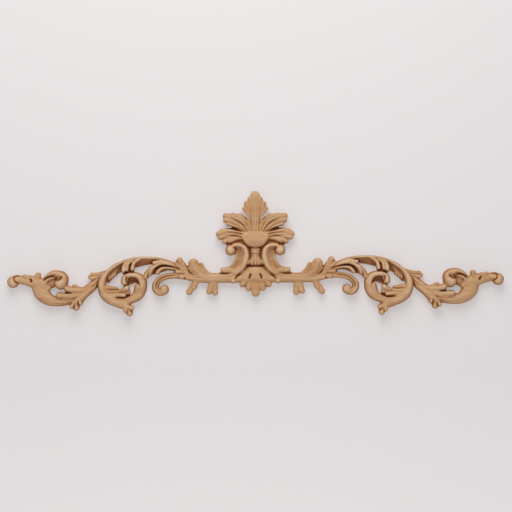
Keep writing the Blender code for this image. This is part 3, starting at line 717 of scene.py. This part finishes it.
@dataclass(frozen=True)
class Stem(Carver):
    """The stem beside the middle, with the leaves that grow above and below it."""

    under_leaf: Hand = Hand((42, -2), ((40.6, -16.4, 3.0), (46.4, -15.2, 3.0)), 0.5, SPRIG, 3.6, moat=0.1)
    under_sprig: Hand = Hand((58, -2), ((66.4, -15.6, 3.1), (61.6, -11, 2.6)), 0.48, 0.52, 2.6, moat=0.1)
    stalk: Band = Band(
        ((14, -2), (28, -2), (45, -1.8), (58, -1.8), (70, -0.8)), (4.5, 4.7, 4.9, 4.6, 2.6), (0.55, LEAF, 0.5)
    )
    stalk_end: Hand = Hand((60, -2), ((71, -0.8, 2.4), (77.4, -0.6, 2.0)), 0.58, 0.58, 2.5)
    grooves: tuple[Groove, ...] = (
        Groove(((36, -1.6), (48, -1.8), (58, -1.6), (69, -0.2)), (0.4, 0.8, 0.9, 0.4), (0.12,)),
        Groove(((70.4, -0.4), (70.6, -2.0), (70.8, -4)), (0.3, 1.0, 1.2), (0.3,)),
        Groove(((76.8, 1.0), (77.2, -0.4), (77.4, -2.6)), (0.3, 0.8, 0.8), (0.2,)),
    )
    broad_leaf: tuple[Petal, ...] = (
        Petal(((43, -0.6), (50, 4.2), (54.6, 11.4)), 2.5, 2.3, 0.56, 0.64),
        Petal(((50, -1.5), (59, 2.4), (63.4, 8.6)), 2.6, 4.2, 0.56, 0.64, 0.8),
        Petal(((46, -1.5), (56.4, 3.8), (62.1, 12.6)), 3.6, 5.1, 0.58, 0.7, 0.8, moat=0.2),
    )
    leaf_flutes: tuple[Groove, ...] = (
        Groove(((50, 1.6), (56, 6), (60.0, 13.2)), (0.5, 1.3, 0.5), (0.09,), True),
        Groove(((58, 1.4), (62.6, 5), (64.6, 12.4)), (0.5, 1.3, 0.5), (0.09,), True),
        Groove(((69.0, 11.4), (68.4, 8.0), (66.2, 4.6), (62, 1.0)), (1.0, 1.1, 1.0, 0.5), (0.24,)),
    )
    small_leaf: Hand = Hand(
        (68.5, 2.6), ((71.9, 12.0, 2.2), (79.0, 13.0, 2.0), (76.0, 16.6, 2.7)), 0.56, 0.64, 2.4, moat=0.14
    )


@dataclass(frozen=True)
class Scroll(Carver):
    """The C scroll under the palmette, with its ball and the leaf at its foot."""

    curve: Band = Band(
        ((40, -1), (31, 1.2), (24, 4.5), (17.2, 10), (13.3, 17), (12.9, 24), (15.5, 29.4), (21, 31)),
        (3.5, 4.2, 5.2, 6.2, 7.2, 6.8, 4.4, 2.6),
        (0.58, 0.62, 0.66, 0.7),
        Section.BROAD,
    )
    hollow: Groove = Groove(
        ((22, 7.2), (17.4, 12), (15.2, 17.4), (14.8, 22.6), (16.0, 27.2)),
        (1.0, 2.4, 3.2, 3.2, 2.2),
        (0.13,),
        True,
    )
    ridge: Band = Band(
        ((27.6, 7.4), (22.6, 11.6), (19.6, 16.2), (18.6, 21.2), (19.2, 25.6)),
        (0.9, 1.2, 1.5, 1.5, 1.1),
        (0.64, 0.7, 0.68),
        edge=0.5,
    )
    ball: Band = Band(((24.7, 26.1), (24.7, 25.9)), (5.4,), (0.99,))
    nick: Groove = Groove(((20.2, 28.6), (19.2, 26.0), (20.0, 22.6)), (0.5, 0.8, 0.5), (0.24,))
    rim: Band = Band(
        (
            (20, 2.6), (15.4, 6.4), (11.8, 11.4), (9.6, 17.2), (9.1, 23), (10.8, 28.2), (14.6, 30.4),
            (20, 30.9), (23.8, 29.2),
        ),
        (1.6, 2.6, 3.2, 3.3, 2.9, 2.5, 1.9, 1.7, 1.3),
        (0.64, 0.74, 0.82, 0.84, 0.88, 0.98),
        edge=0.5,
    )
    foot: Hand = Hand((21, 3.9), ((27.6, 7.5, 2.2), (32.5, 6.3, 2.6)), 0.64, 0.7, 2.6, moat=0.1)
    slot: Groove = Groove(((24, 3.4), (29, 2.8), (35, 2.6)), (0.4, 0.9, 1.0), (0.26,))


@dataclass(frozen=True)
class Vase(Carver):
    """The vase between the scrolls, the boss under it and the drop below the stem."""

    drop: Hand = Hand((0, 2), ((13.2, -8.4, 3.0), (7, -11.8, 3.4), (0, -16.6, 4.2)), 0.5, 0.56, 3.4, moat=0.1)
    boss: Band = Band(((0, 3), (8, 0), (16, -2.5)), (9, 7.5, 3.5), (0.7, LEAF, 0.5))
    body: tuple[Band, ...] = (
        Band(((0, 14), (0, 19), (0, 24)), (6.0, 4.9, 4.6), (0.64, 0.7)),
        Band(((-3.4, 26.6), (3.4, 26.6)), (1.3,), (0.8,)),
        Band(((-3.4, 24.2), (3.4, 24.2)), (1.2,), (0.82,)),
    )
    lip_shade: Groove = Groove(((-8, 10.6), (0, 9.9), (8, 10.6)), (1.2,), (0.24,))
    lip: tuple[Petal, ...] = (
        Petal(((0, 18), (4.6, 15.4), (6.8, 13.2)), 1.6, 1.6, 0.62, 0.66),
        Petal(((0, 18), (2.4, 15), (3.5, 12.5)), 1.6, 1.9, 0.64, 0.68, moat=0.1),
        Petal(((0, 18), (0, 15), (0, 12.6)), 1.6, 1.7, 0.64, 0.68, moat=0.1),
    )
    flute: Groove = Groove(((2.0, 16), (1.7, 20), (1.6, 23)), (0.7, 0.6, 0.4), (0.08,))
    bead: tuple[Band, ...] = (
        Band(((14, -2), (19, -4.6)), (2.4, 2.0), (0.5,)),
        Band(((22.2, -5.0), (22.5, -5.1)), (2.5,), (0.7,)),
    )
    crevice: Groove = Groove(((15.6, 2.0), (18, 0.2), (20.2, -2.6)), (0.4, 1.1, 0.7), (0.3,))
    eye: Groove = Groove(((4.9, 1.6), (6.1, -2.0)), (1.1,), (0.32,))


@dataclass(frozen=True)
class Palmette(Carver):
    """The palmette's three leaves to each side of its middle line, and the cup they stand in."""

    low_leaf: Hand = Hand(
        (3, 38),
        (
            (23.4, 44.6, 2.2), (28.6, 45.9, 2.5), (33.6, 44.6, 2.6), (36.6, 42.2, 2.8), (35.2, 38.6, 2.5),
            (30.8, 34.7, 2.6), (25, 35.4, 2.8),
        ),
        0.6, VINE, 1.8, 0.1, moat=0.06,
    )
    side_leaf: Hand = Hand(
        (4, 41),
        (
            (15.0, 60.1, 2.7), (18.8, 60.2, 2.5), (22.4, 60.7, 2.6), (26.0, 60.2, 2.5), (29.5, 60.0, 3.0),
            (29.2, 56.0, 2.8), (26.6, 52.4, 2.3),
        ),
        0.62, 0.7, 1.8, 0.09, moat=0.06,
    )
    crevice: Groove = Groove(
        ((30, 49.9), (25.4, 48.5), (20, 46.8), (14, 44.9)), (1.4, 1.5, 1.5, 1.0), (0.5, 0.54, 0.5, 0.3)
    )
    top_leaf: tuple[Petal, ...] = (
        Petal(((3.0, 44), (5.2, 56), (10.6, 66.8)), 1.8, 2.7, 0.64, 0.68, 0.8, moat=0.06),
        Petal(((2.4, 44), (4.8, 59), (8.3, 72.2)), 2.0, 2.9, 0.66, 0.7, 0.8, moat=0.06),
        Petal(((1.6, 44), (3.6, 62), (5.0, 76.8)), 2.2, 2.7, 0.66, 0.72, 0.8, moat=0.06),
    )
    tongue: Petal = Petal(((0, 40), (0, 60), (0, 80)), 3.4, 4.9, 0.68, 0.76, 0.84)
    flutes: tuple[Groove, ...] = (
        Groove(((1.4, 45), (1.7, 54), (1.7, 66)), (0.6, 0.8, 0.3), (0.1,)),
        Groove(((3.6, 45.4), (4.4, 56), (5.0, 70)), (0.8, 0.9, 0.3), (0.16, 0.18, 0.08)),
        Groove(((6.0, 45.4), (8.4, 51.4), (12.4, 57)), (0.7, 1.0, 0.4), (0.16,)),
        Groove(((8.2, 44.6), (11.6, 50), (16.4, 54.2), (23, 57.4)), (0.8, 1.1, 1.0, 0.4), (0.2,)),
        Groove(((10.6, 43.6), (14.6, 48.2), (20, 51.4), (27, 53.4)), (0.7, 1.0, 0.9, 0.4), (0.16,)),
        Groove(((11.2, 41.2), (19, 43.2), (28, 43.8)), (0.8, 1.1, 0.4), (0.2,)),
        Groove(((11.2, 37.8), (18.6, 40), (29, 40.4)), (0.8, 1.1, 0.4), (0.2,)),
    )
    notch: Slit = Slit(((13.8, 65.3), (10.2, 61.2), (7.1, 57.6)), (1.9, 1.1, 0.5))
    cup_shade: Groove = Groove(((0, 28.6), (5, 29.3), (9.8, 32.4)), (1.6, 1.5, 1.0), (0.24,))
    cup: Band = Band(((0, 36.2), (4, 36.8), (8.8, 39.2)), (8.4, 7.8, 5.0), (0.86, 0.84, 0.74), edge=0.56)


@dataclass(frozen=True)
class Sanding:
    """How the carving is smoothed, and which of its places count as hollows, which get painted shade.

    Attributes:
        soften: width in squares of the bell curve that sanding smooths by.
        lowest: the least height that is left, as a share of the relief.
        neighbourhood: width in squares of the bell curve that hollows are measured by.
        least_wood: the least share of wood that a mean height is taken over.
        deep: the height under which wood lies deep.
        deep_most: the greatest depth under it that counts.
        deep_share: how much of that depth is added to the recess, as more painted shade on deep wood.
        steep: the slope of a steep side, in shares of the relief to the square.
        steep_start: the share of that slope from which a side counts.
        steep_share: what a steep side adds to the recess, as painted shade on steep sides.
    """

    soften: float = 0.42
    lowest: float = 0.12
    neighbourhood: float = 3.2
    least_wood: float = 0.05
    deep: float = 0.4
    deep_most: float = 0.3
    deep_share: float = 0.4
    steep: float = 0.16
    steep_start: float = 0.4
    steep_share: float = 0.1


@dataclass
class Relief:
    """Both halves of the finished carving, as fields over the sheet.

    Attributes:
        xs: the columns' places, in squares.
        zs: the rows' places, in squares.
        inside: how far inside the outline each place is, in squares.
        height: how high the wood stands, as a share of the relief.
        recess: how far it lies below the wood around it, in the same shares; less than nothing on crests. It
            sets where shade and highlight are painted on the wood.
    """

    xs: np.ndarray
    zs: np.ndarray
    inside: np.ndarray
    height: np.ndarray
    recess: np.ndarray

    @classmethod
    def sanded(cls, wood: Wood, sanding: Sanding = Sanding()) -> "Relief":
        """Mirrors the half about its middle, sands its arrises and measures its hollows.

        The recess is the mean height of the wood round a place, weighed by a bell curve, less its own, with a
        little more for deep wood and for steep sides. The wood's colour paints shade where it is high and a
        highlight where it is below nothing.

        Args:
            wood: the carved right half.
            sanding: how it is smoothed and its hollows are measured.

        Returns:
            The whole relief.
        """
        def whole(half: np.ndarray) -> np.ndarray:
            """The half with its mirror image to its left, sharing the middle column."""
            return np.concatenate([half[:, :0:-1], half], axis=1)

        pitch = wood.sheet.pitch
        inside = whole(wood.inside)
        height = np.maximum(blurred(whole(wood.height), sanding.soften / pitch), sanding.lowest)
        here = (inside > 0).astype(float)
        width = sanding.neighbourhood / pitch
        recess = blurred(height * here, width) / np.maximum(blurred(here, width), sanding.least_wood) - height
        # Painted shade: deep wood and steep sides count as more recessed, so that their colour comes out
        # darker and browner.
        recess += sanding.deep_share * np.clip(sanding.deep - height, 0, sanding.deep_most)
        steepness = np.hypot(*np.gradient(height, pitch))
        recess += sanding.steep_share * np.clip(steepness / sanding.steep - sanding.steep_start, 0, 1)
        xs = np.concatenate([-wood.xs[:0:-1], wood.xs])
        return cls(xs, wood.zs, inside, height, recess)


class ReliefMesh:
    """Turns a relief into one closed mesh: carved face, walls and flat back.

    The outline crosses the cells of the sheet where the inside field passes nothing. Each cell keeps the
    polygon that lies inside: walking round its corners, every corner that is inside is kept, and so is the
    crossing on every side whose two corners differ. A polygon's edge between two crossings gets a wall.
    """

    CORNERS = ((0, 0), (1, 0), (1, 1), (0, 1))
    # A crossing lies between these shares of its side, so that no face is a sliver.
    NEAREST = 0.06
    FARTHEST = 0.94
    # A smaller change along a side counts as none.
    LEVEL = 1e-9

    def __init__(self, relief: Relief, square: float, thickness: float) -> None:
        """Takes the relief, the side of a square in metres and the height of the relief in metres."""
        self.relief = relief
        self.square = square
        self.thickness = thickness
        self.rows, self.columns = relief.inside.shape
        self.places = self.rows * self.columns

    def crossings(self, values: np.ndarray) -> np.ndarray:
        """Reads a field at every place, then where the outline crosses the sides to the east and the north.

        Args:
            values: the field, one value for each place.

        Returns:
            The field's values, one row of three for places, east sides and north sides, flattened.
        """
        inside = self.relief.inside
        read = [values]
        for axis in (1, 0):
            other_inside, other = np.roll(inside, -1, axis), np.roll(values, -1, axis)
            gap = inside - other_inside
            share = inside / np.where(np.abs(gap) < self.LEVEL, 1.0, gap)
            share = np.clip(share, self.NEAREST, self.FARTHEST)
            read.append(values + (other - values) * share)
        return np.stack(read).reshape(-1)

    def ring(self, case: int) -> list[int]:
        """The polygon of a cell whose inside corners are the bits of `case`.

        Args:
            case: one bit for each corner, set where it is inside.

        Returns:
            Its members in order: corners as 0 to 3, and the crossings that follow them as 4 to 7.
        """
        kept = []
        for corner in range(4):
            here, following = case >> corner & 1, case >> (corner + 1) % 4 & 1
            if here:
                kept.append(corner)
            if here != following:
                kept.append(4 + corner)
        return kept

    def numbers(self, cells: np.ndarray, member: int) -> np.ndarray:
        """The point numbers of one member of the ring, in each of the cells.

        Args:
            cells: the place numbers of the cells' lower left corners.
            member: a corner or a crossing, as `ring` gives it.

        Returns:
            One number for each cell.
        """
        if member < 4:
            east, north = self.CORNERS[member]
            return cells + east + north * self.columns
        side = (0, 1, self.columns, 0)[member - 4]
        return cells + side + self.places * (2 if member in (5, 7) else 1)

    def polygons(self) -> tuple[list[np.ndarray], np.ndarray]:
        """Every cell's polygon, and the edges that follow the outline.

        Returns:
            One array of point numbers for each of the fifteen cases, and a row of two for each outline edge.
        """
        inside = self.relief.inside > 0
        corners = enumerate(self.CORNERS)
        bits = [np.roll(inside, (-north, -east), (0, 1)) << bit for bit, (east, north) in corners]
        cases = np.bitwise_or.reduce(bits)[:-1, :-1]
        faces, edges = [], []
        for case in range(1, 16):
            row, column = np.nonzero(cases == case)
            cells = row * self.columns + column
            ring = self.ring(case)
            faces.append(np.stack([self.numbers(cells, member) for member in ring], axis=1))
            for first, second in zip(ring, ring[1:] + ring[:1]):
                if first > 3 and second > 3:
                    edges.append(np.stack([self.numbers(cells, first), self.numbers(cells, second)], axis=1))
        return faces, np.concatenate(edges)

    def build(self, name: str) -> bpy.types.Mesh:
        """Makes the mesh and closes its back.

        Args:
            name: the mesh's name.

        Returns:
            The mesh, in metres, with the recess of each point as its attribute.
        """
        faces, outline = self.polygons()
        used = np.unique(np.concatenate([face.reshape(-1) for face in faces]))
        rim = np.unique(outline)
        x, z = np.meshgrid(self.relief.xs, self.relief.zs)
        read = (x, z, self.relief.height, self.relief.recess)
        x, z, height, recess = (self.crossings(values)[used] for values in read)
        front = np.column_stack([x * self.square, -height * self.thickness, z * self.square])
        at_rim = np.searchsorted(used, rim)
        back = front[at_rim] * (1, 0, 1)
        corners = [np.searchsorted(used, face) for face in faces]
        start, end = np.searchsorted(used, outline).T
        back_start, back_end = (np.searchsorted(rim, column) + len(used) for column in outline.T)
        corners.append(np.stack([start, back_start, back_end, end], axis=1))
        mesh = bpy.data.meshes.new(name)
        polygons = [row for block in corners for row in block.tolist()]
        mesh.from_pydata(np.concatenate([front, back]).tolist(), [], polygons)
        shape = bmesh.new()
        shape.from_mesh(mesh)
        open_edges = [edge for edge in shape.edges if edge.is_boundary]
        bmesh.ops.triangle_fill(shape, edges=open_edges, use_beauty=True, normal=(0, 1, 0))
        shape.to_mesh(mesh)
        shape.free()
        attribute = mesh.attributes.new("recess", "FLOAT", "POINT")
        attribute.data.foreach_set("value", np.concatenate([recess, np.zeros(len(rim))]).astype(np.float32))
        return mesh


class Socket:
    """A shader socket that takes part in sums: each operator adds the Math node that works it out."""

    def __init__(self, nodes: "Nodes", link: bpy.types.NodeSocket) -> None:
        """Wraps one output socket of the tree."""
        self.nodes = nodes
        self.link = link

    def __add__(self, other: Value) -> "Socket":
        """The sum."""
        return self.nodes.math("ADD", self, other)

    def __sub__(self, other: Value) -> "Socket":
        """The difference."""
        return self.nodes.math("SUBTRACT", self, other)

    def __rsub__(self, other: Value) -> "Socket":
        """The difference from a number."""
        return self.nodes.math("SUBTRACT", other, self)

    def __mul__(self, other: Value) -> "Socket":
        """The product."""
        return self.nodes.math("MULTIPLY", self, other)

    __radd__ = __add__
    __rmul__ = __mul__


class Nodes:
    """Builds one material's node tree."""

    def __init__(self, material: bpy.types.Material) -> None:
        """Clears the material's tree and keeps hold of it."""
        material.use_nodes = True
        self.tree = material.node_tree
        self.tree.nodes.clear()

    def add(self, kind: str, inputs: Inputs | None = None, **settings: Any) -> bpy.types.Node:
        """Adds a node: its settings first, then its sockets.

        Args:
            kind: the node's type.
            inputs: the value or the link of each socket, by its name or its number.
            settings: values of the node's own properties.

        Returns:
            The node.
        """
        node = self.tree.nodes.new(kind)
        for name, value in settings.items():
            setattr(node, name, value)
        for name, value in (inputs or {}).items():
            if isinstance(value, Socket):
                self.tree.links.new(value.link, node.inputs[name])
            else:
                node.inputs[name].default_value = value
        return node

    def read(self, kind: str, output: str | int, inputs: Inputs | None = None, **settings: Any) -> Socket:
        """Adds a node and gives one of its outputs."""
        return Socket(self, self.add(kind, inputs, **settings).outputs[output])

    def math(self, operation: str, *values: Value) -> Socket:
        """Adds a Math node over numbers."""
        return self.read("ShaderNodeMath", 0, dict(enumerate(values)), operation=operation)

    def ramp(self, value: Socket, low: float, high: float) -> Socket:
        """Nothing up to `low` and one from `high` on, with a soft change between."""
        inputs = {"Value": value, "From Min": low, "From Max": high}
        return self.read("ShaderNodeMapRange", 0, inputs, interpolation_type="SMOOTHSTEP")

    def blend(self, share: Value, first: Value, second: Value) -> Socket:
        """Mixes two colours by a share. The Mix node's sockets of one name are told apart by number."""
        return self.read("ShaderNodeMix", 2, {0: share, 6: first, 7: second}, data_type="RGBA")


def linear(red: int, green: int, blue: int) -> Colour:
    """A screen colour as the linear numbers that a shader takes, by the curve of sRGB."""
    shares = [value / 255 for value in (red, green, blue)]
    return (*(s / 12.92 if s <= 0.04045 else ((s + 0.055) / 1.055) ** 2.4 for s in shares), 1.0)


@dataclass(frozen=True)
class Layer:
    """A colour laid over the wood as a field rises: none of it at the range's start, its share at the end."""

    colour: Colour
    share: float
    over: Range


@dataclass(frozen=True)
class BeechFinish:
    """Raw steamed beech, sanded: fine grain along the width and short dark flecks, with painted shade, a warm
    brown, in its hollows and a painted highlight on its crests.

    Attributes:
        pale: the colour of the early wood.
        late: the late wood, over the field of the rings.
        pore: the pores, over their own field.
        fleck: the rays' short flecks, over theirs.
        crest: a painted highlight, the paler colour laid on crests, over the recess with its sign turned.
        hollow: painted shade, the warm brown laid in the hollows, over the recess.
        roughness: of the sanded surface.
        polish: how much smoother a crest is.
        nap: how much rougher a hollow is.
        sheen: the strength of its plain reflection.
        ring_pitch: metres from one growth ring to the next.
        pore_pitch: metres between the fine pores' lines.
        drawn_out: how many times as long as they are wide rings and pores are.
        fleck_length: metres along the grain.
        fleck_slimness: how many times as long as it is wide a fleck is.
        mottle: metres along and across the grain of the patches that make the painted shade in the hollows
            uneven.
        mottle_share: how much of the recess those patches make up.
        relief_depth: metres from the deepest pore to the surface.
        relief_strength: how strongly that relief shows.
        pore_relief: the pores' share in it, the rest being the flecks'.
        finer: how strongly each finer octave of a noise counts beside the one before.
    """

    pale: Colour = linear(208, 168, 124)
    late: Layer = Layer(linear(196, 150, 104), 1.0, (0.36, 0.64))
    pore: Layer = Layer(linear(160, 108, 70), 0.35, (0.45, 0.75))
    fleck: Layer = Layer(linear(160, 108, 70), 0.3, (0.6, 0.7))
    # Painted highlight: paler wood laid on the crests, where the recess falls below nothing.
    crest: Layer = Layer(linear(234, 206, 172), 0.55, (0.0, 0.18))
    # Painted shade: a darker, warmer brown laid in the hollows as the recess rises.
    hollow: Layer = Layer(linear(158, 92, 46), 0.76, (0.0, 0.2))
    roughness: float = 0.55
    polish: float = 0.06
    nap: float = 0.1
    sheen: float = 0.35
    ring_pitch: float = 0.011
    pore_pitch: float = 0.0011
    drawn_out: float = 22.0
    fleck_length: float = 0.0042
    fleck_slimness: float = 7.0
    mottle: Range = (0.05, 0.03)
    mottle_share: float = 0.06
    relief_depth: float = 0.00025
    relief_strength: float = 0.35
    pore_relief: float = 0.6
    finer: float = 0.55

    def grain(self, nodes: Nodes, place: Socket, along: float, across: float, detail: float) -> Socket:
        """A noise drawn out along the wood's width.

        Args:
            nodes: the tree's builder.
            place: the object's coordinates.
            along: metres from one feature to the next along the grain.
            across: metres from one to the next across it.
            detail: how many finer octaves it holds.

        Returns:
            The noise, which swings about NOISE_MEAN.
        """
        scale = Vector((1 / along, 1 / across, 1 / across))
        drawn = nodes.read("ShaderNodeMapping", 0, {"Vector": place, "Scale": scale})
        inputs = {"Vector": drawn, "Scale": 1.0, "Detail": detail, "Roughness": self.finer}
        return nodes.read("ShaderNodeTexNoise", 0, inputs)

    def make(self) -> bpy.types.Material:
        """Builds the material: colour, roughness and bump, all on the object's own coordinates."""
        material = bpy.data.materials.new("sanded_beech")
        nodes = Nodes(material)
        place = nodes.read("ShaderNodeTexCoord", "Object")
        recess = nodes.read("ShaderNodeAttribute", "Fac", attribute_name="recess")
        rings = self.grain(nodes, place, self.ring_pitch * self.drawn_out, self.ring_pitch, 2.0)
        pores = self.grain(nodes, place, self.pore_pitch * self.drawn_out, self.pore_pitch, 3.0)
        flecks = self.grain(nodes, place, self.fleck_length, self.fleck_length / self.fleck_slimness, 1.0)
        patches = self.grain(nodes, place, *self.mottle, 2.0)
        # Painted highlight on crests: the share of paler colour grows as the recess falls below nothing.
        crest = nodes.ramp(0 - recess, *self.crest.over)
        # Painted shade in the hollows, made a little uneven by the patches.
        hollow = nodes.ramp(recess + (patches - NOISE_MEAN) * self.mottle_share, *self.hollow.over)
        shares = (
            (self.late, nodes.ramp(rings, *self.late.over)),
            (self.pore, nodes.ramp(pores, *self.pore.over)),
            (self.fleck, nodes.ramp(flecks, *self.fleck.over)),
            (self.crest, crest),
            (self.hollow, hollow),
        )
        wood = self.pale
        for layer, share in shares:
            wood = nodes.blend(share * layer.share, wood, layer.colour)
        height = pores * self.pore_relief + flecks * (1 - self.pore_relief)
        relief = {"Strength": self.relief_strength, "Distance": self.relief_depth, "Height": height}
        inputs = {
            "Base Color": wood,
            "Roughness": self.roughness - crest * self.polish + hollow * self.nap,
            "Normal": nodes.read("ShaderNodeBump", 0, relief),
            "Specular IOR Level": self.sheen,
        }
        surface = nodes.read("ShaderNodeBsdfPrincipled", 0, inputs)
        nodes.add("ShaderNodeOutputMaterial", {"Surface": surface})
        return material


@dataclass
class Pediment:
    """The whole carved piece, which stands for the frame's solid.

    Attributes:
        square: the side of one square of the drawing, in metres.
        thickness: from the flat back to the highest carving, in metres.
        finish: the wood's looks.
        arris: the angle past which an edge shows sharp.
    """

    square: float
    thickness: float
    finish: BeechFinish = BeechFinish()
    arris: float = math.radians(42)

    def carvers(self) -> tuple[Carver, ...]:
        """The sub-assemblies, in the order that they are carved."""
        return Ground(), Vine(), Volute(), Ring(), RingLeaves(), Spray(), Stem(), Scroll(), Vase(), Palmette()

    def build(self) -> bpy.types.Object:
        """Carves the wood, makes the mesh and dresses it."""
        wood = Wood(SHEET)
        for carver in self.carvers():
            carver.carve(wood)
            log.info("carved the %s", type(carver).__name__.lower())
        mesh = ReliefMesh(Relief.sanded(wood), self.square, self.thickness).build("fine_carving")
        self.keep_in_frame(mesh)
        mesh.shade_smooth()
        mesh.set_sharp_from_angle(angle=self.arris)
        mesh.materials.append(self.finish.make())
        piece = bpy.data.objects.new("fine_carving", mesh)
        bpy.context.scene.collection.objects.link(piece)
        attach(piece, BODY)
        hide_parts(NODE)
        triangles = sum(len(face.vertices) - 2 for face in mesh.polygons)
        log.info("%s: %d triangles", piece.name, triangles)
        return piece

    def keep_in_frame(self, mesh: bpy.types.Mesh) -> None:
        """Holds every point within the solid's own box."""
        low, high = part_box(NODE)
        points = np.empty(len(mesh.vertices) * 3, np.float32)
        mesh.vertices.foreach_get("co", points)
        held = np.clip(points.reshape(-1, 3), np.array(low), np.array(high))
        mesh.vertices.foreach_set("co", held.reshape(-1).astype(np.float32))
        mesh.update()


@dataclass(frozen=True)
class Studio:
    """A pale wall that the piece lies on, curving into a pale floor, with soft light and the camera.

    Attributes:
        square: the side of one square of the drawing, in metres.
        aim: the place on the drawing that the camera looks at.
        frame_squares: squares that the picture takes in from side to side.
        distance: metres from the camera to the carving's middle depth.
        depth: metres from the wall to that depth.
        film: the width of the camera's film, in millimetres.
        roll: how far the picture is turned, its right side up.
        key_place: where the one lamp hangs.
        key_aim: what it faces.
        key_size: its side, in metres.
        key_power: in watts.
        key_tint: its colour.
        sky_tint: the colour of the light from all round.
        sky_strength: its strength.
        wall: the colour of the backdrop's paper.
        glow: the colour of the little light that the paper gives off.
        glow_strength: its strength.
        wall_gap: metres from the piece's back to the wall.
        wall_top: the wall's top above the piece's middle line, in metres.
        floor_drop: how far below that line the floor lies.
        reach: how far the paper reaches to each side and forward.
        cove: the radius at which the wall turns into the floor.
        cove_places: places along that turn.
    """

    square: float
    aim: Point = (0.6, 20.0)
    frame_squares: float = 512.0
    distance: float = 3.0
    depth: float = 0.01
    film: float = 36.0
    roll: float = math.radians(0.35)
    key_place: Place = (-0.1, -1.05, 1.35)
    key_aim: Place = (0, 0, 0.03)
    key_size: float = 1.3
    key_power: float = 21.2
    key_tint: Tint = (1.0, 0.985, 0.965)
    sky_tint: Colour = (0.96, 0.97, 1.0, 1.0)
    sky_strength: float = 0.34
    wall: Colour = linear(184, 181, 181)
    glow: Colour = linear(254, 251, 252)
    glow_strength: float = 0.34
    wall_gap: float = 0.0008
    wall_top: float = 1.44
    floor_drop: float = 0.45
    reach: float = 2.4
    cove: float = 0.3
    cove_places: int = 13

    def camera(self) -> None:
        """Aims the camera square at the piece, level but for the picture's slight turn."""
        data = bpy.data.cameras.new("camera")
        data.sensor_width = self.film
        data.lens = self.film * self.distance / (self.frame_squares * self.square)
        camera = bpy.data.objects.new("camera", data)
        bpy.context.scene.collection.objects.link(camera)
        right = Vector((math.cos(self.roll), 0, -math.sin(self.roll)))
        up = Vector((math.sin(self.roll), 0, math.cos(self.roll)))
        back = Vector((0, -1, 0))
        turn = Matrix((right, up, back)).transposed().to_4x4()
        place = Vector((self.aim[0] * self.square, -self.distance - self.depth, self.aim[1] * self.square))
        camera.matrix_world = Matrix.Translation(place) @ turn
        bpy.context.scene.camera = camera

    def light(self) -> None:
        """Hangs the square soft lamp above and before the piece, and lights the room from all round."""
        data = bpy.data.lights.new("key", "AREA")
        data.shape = "SQUARE"
        data.size = self.key_size
        data.energy = self.key_power
        data.color = self.key_tint
        lamp = bpy.data.objects.new("key", data)
        lamp.location = self.key_place
        ahead = Vector(self.key_aim) - Vector(self.key_place)
        lamp.rotation_euler = ahead.to_track_quat("-Z", "Y").to_euler()
        bpy.context.scene.collection.objects.link(lamp)
        world = bpy.data.worlds.new("world")
        bpy.context.scene.world = world
        world.use_nodes = True
        background = world.node_tree.nodes["Background"]
        background.inputs["Color"].default_value = self.sky_tint
        background.inputs["Strength"].default_value = self.sky_strength

    def backdrop(self) -> None:
        """Lays the paper, see-through from its back so that the piece shows from behind and from below.

        One profile, straight down, round a quarter circle and straight out, is drawn sideways.
        """
        turn = np.linspace(0, math.pi / 2, self.cove_places)
        wall_y, floor_z = self.wall_gap, -self.floor_drop
        out = wall_y - self.cove + self.cove * np.cos(turn)
        down = floor_z + self.cove - self.cove * np.sin(turn)
        profile_y = np.concatenate([[wall_y], out, [wall_y - self.reach]])
        profile_z = np.concatenate([[self.wall_top], down, [floor_z]])
        count = len(profile_y)
        side = np.repeat([-self.reach, self.reach], count)
        points = np.column_stack([side, np.tile(profile_y, 2), np.tile(profile_z, 2)])
        first = np.arange(count - 1)
        faces = np.stack([first, first + 1, first + 1 + count, first + count], axis=1)
        mesh = bpy.data.meshes.new("backdrop")
        mesh.from_pydata(points.tolist(), [], faces.tolist())
        mesh.shade_smooth()
        mesh.materials.append(self.paper())
        sheet = bpy.data.objects.new("backdrop", mesh)
        bpy.context.scene.collection.objects.link(sheet)

    def paper(self) -> bpy.types.Material:
        """Matt pale paper that only shows from its front."""
        material = bpy.data.materials.new("backdrop_paper")
        nodes = Nodes(material)
        matt = nodes.read("ShaderNodeBsdfDiffuse", 0, {"Color": self.wall})
        lit = nodes.read("ShaderNodeEmission", 0, {"Color": self.glow, "Strength": self.glow_strength})
        surface = nodes.read("ShaderNodeAddShader", 0, {0: matt, 1: lit})
        clear = nodes.read("ShaderNodeBsdfTransparent", 0)
        behind = nodes.read("ShaderNodeNewGeometry", "Backfacing")
        shown = nodes.read("ShaderNodeMixShader", 0, {0: behind, 1: surface, 2: clear})
        nodes.add("ShaderNodeOutputMaterial", {"Surface": shown})
        return material

    def build(self) -> None:
        """Sets out the light, the backdrop and the camera."""
        self.light()
        bpy.context.scene.view_settings.view_transform = "Standard"
        self.backdrop()
        self.camera()


def main() -> None:
    """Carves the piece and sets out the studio."""
    logging.basicConfig(level=logging.INFO, format="%(message)s", stream=sys.stdout)
    low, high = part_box(NODE)
    square = (high.x - low.x) / SHEET.across
    Pediment(square, -low.y).build()
    Studio(square).build()


if __name__ == "__main__":
    main()
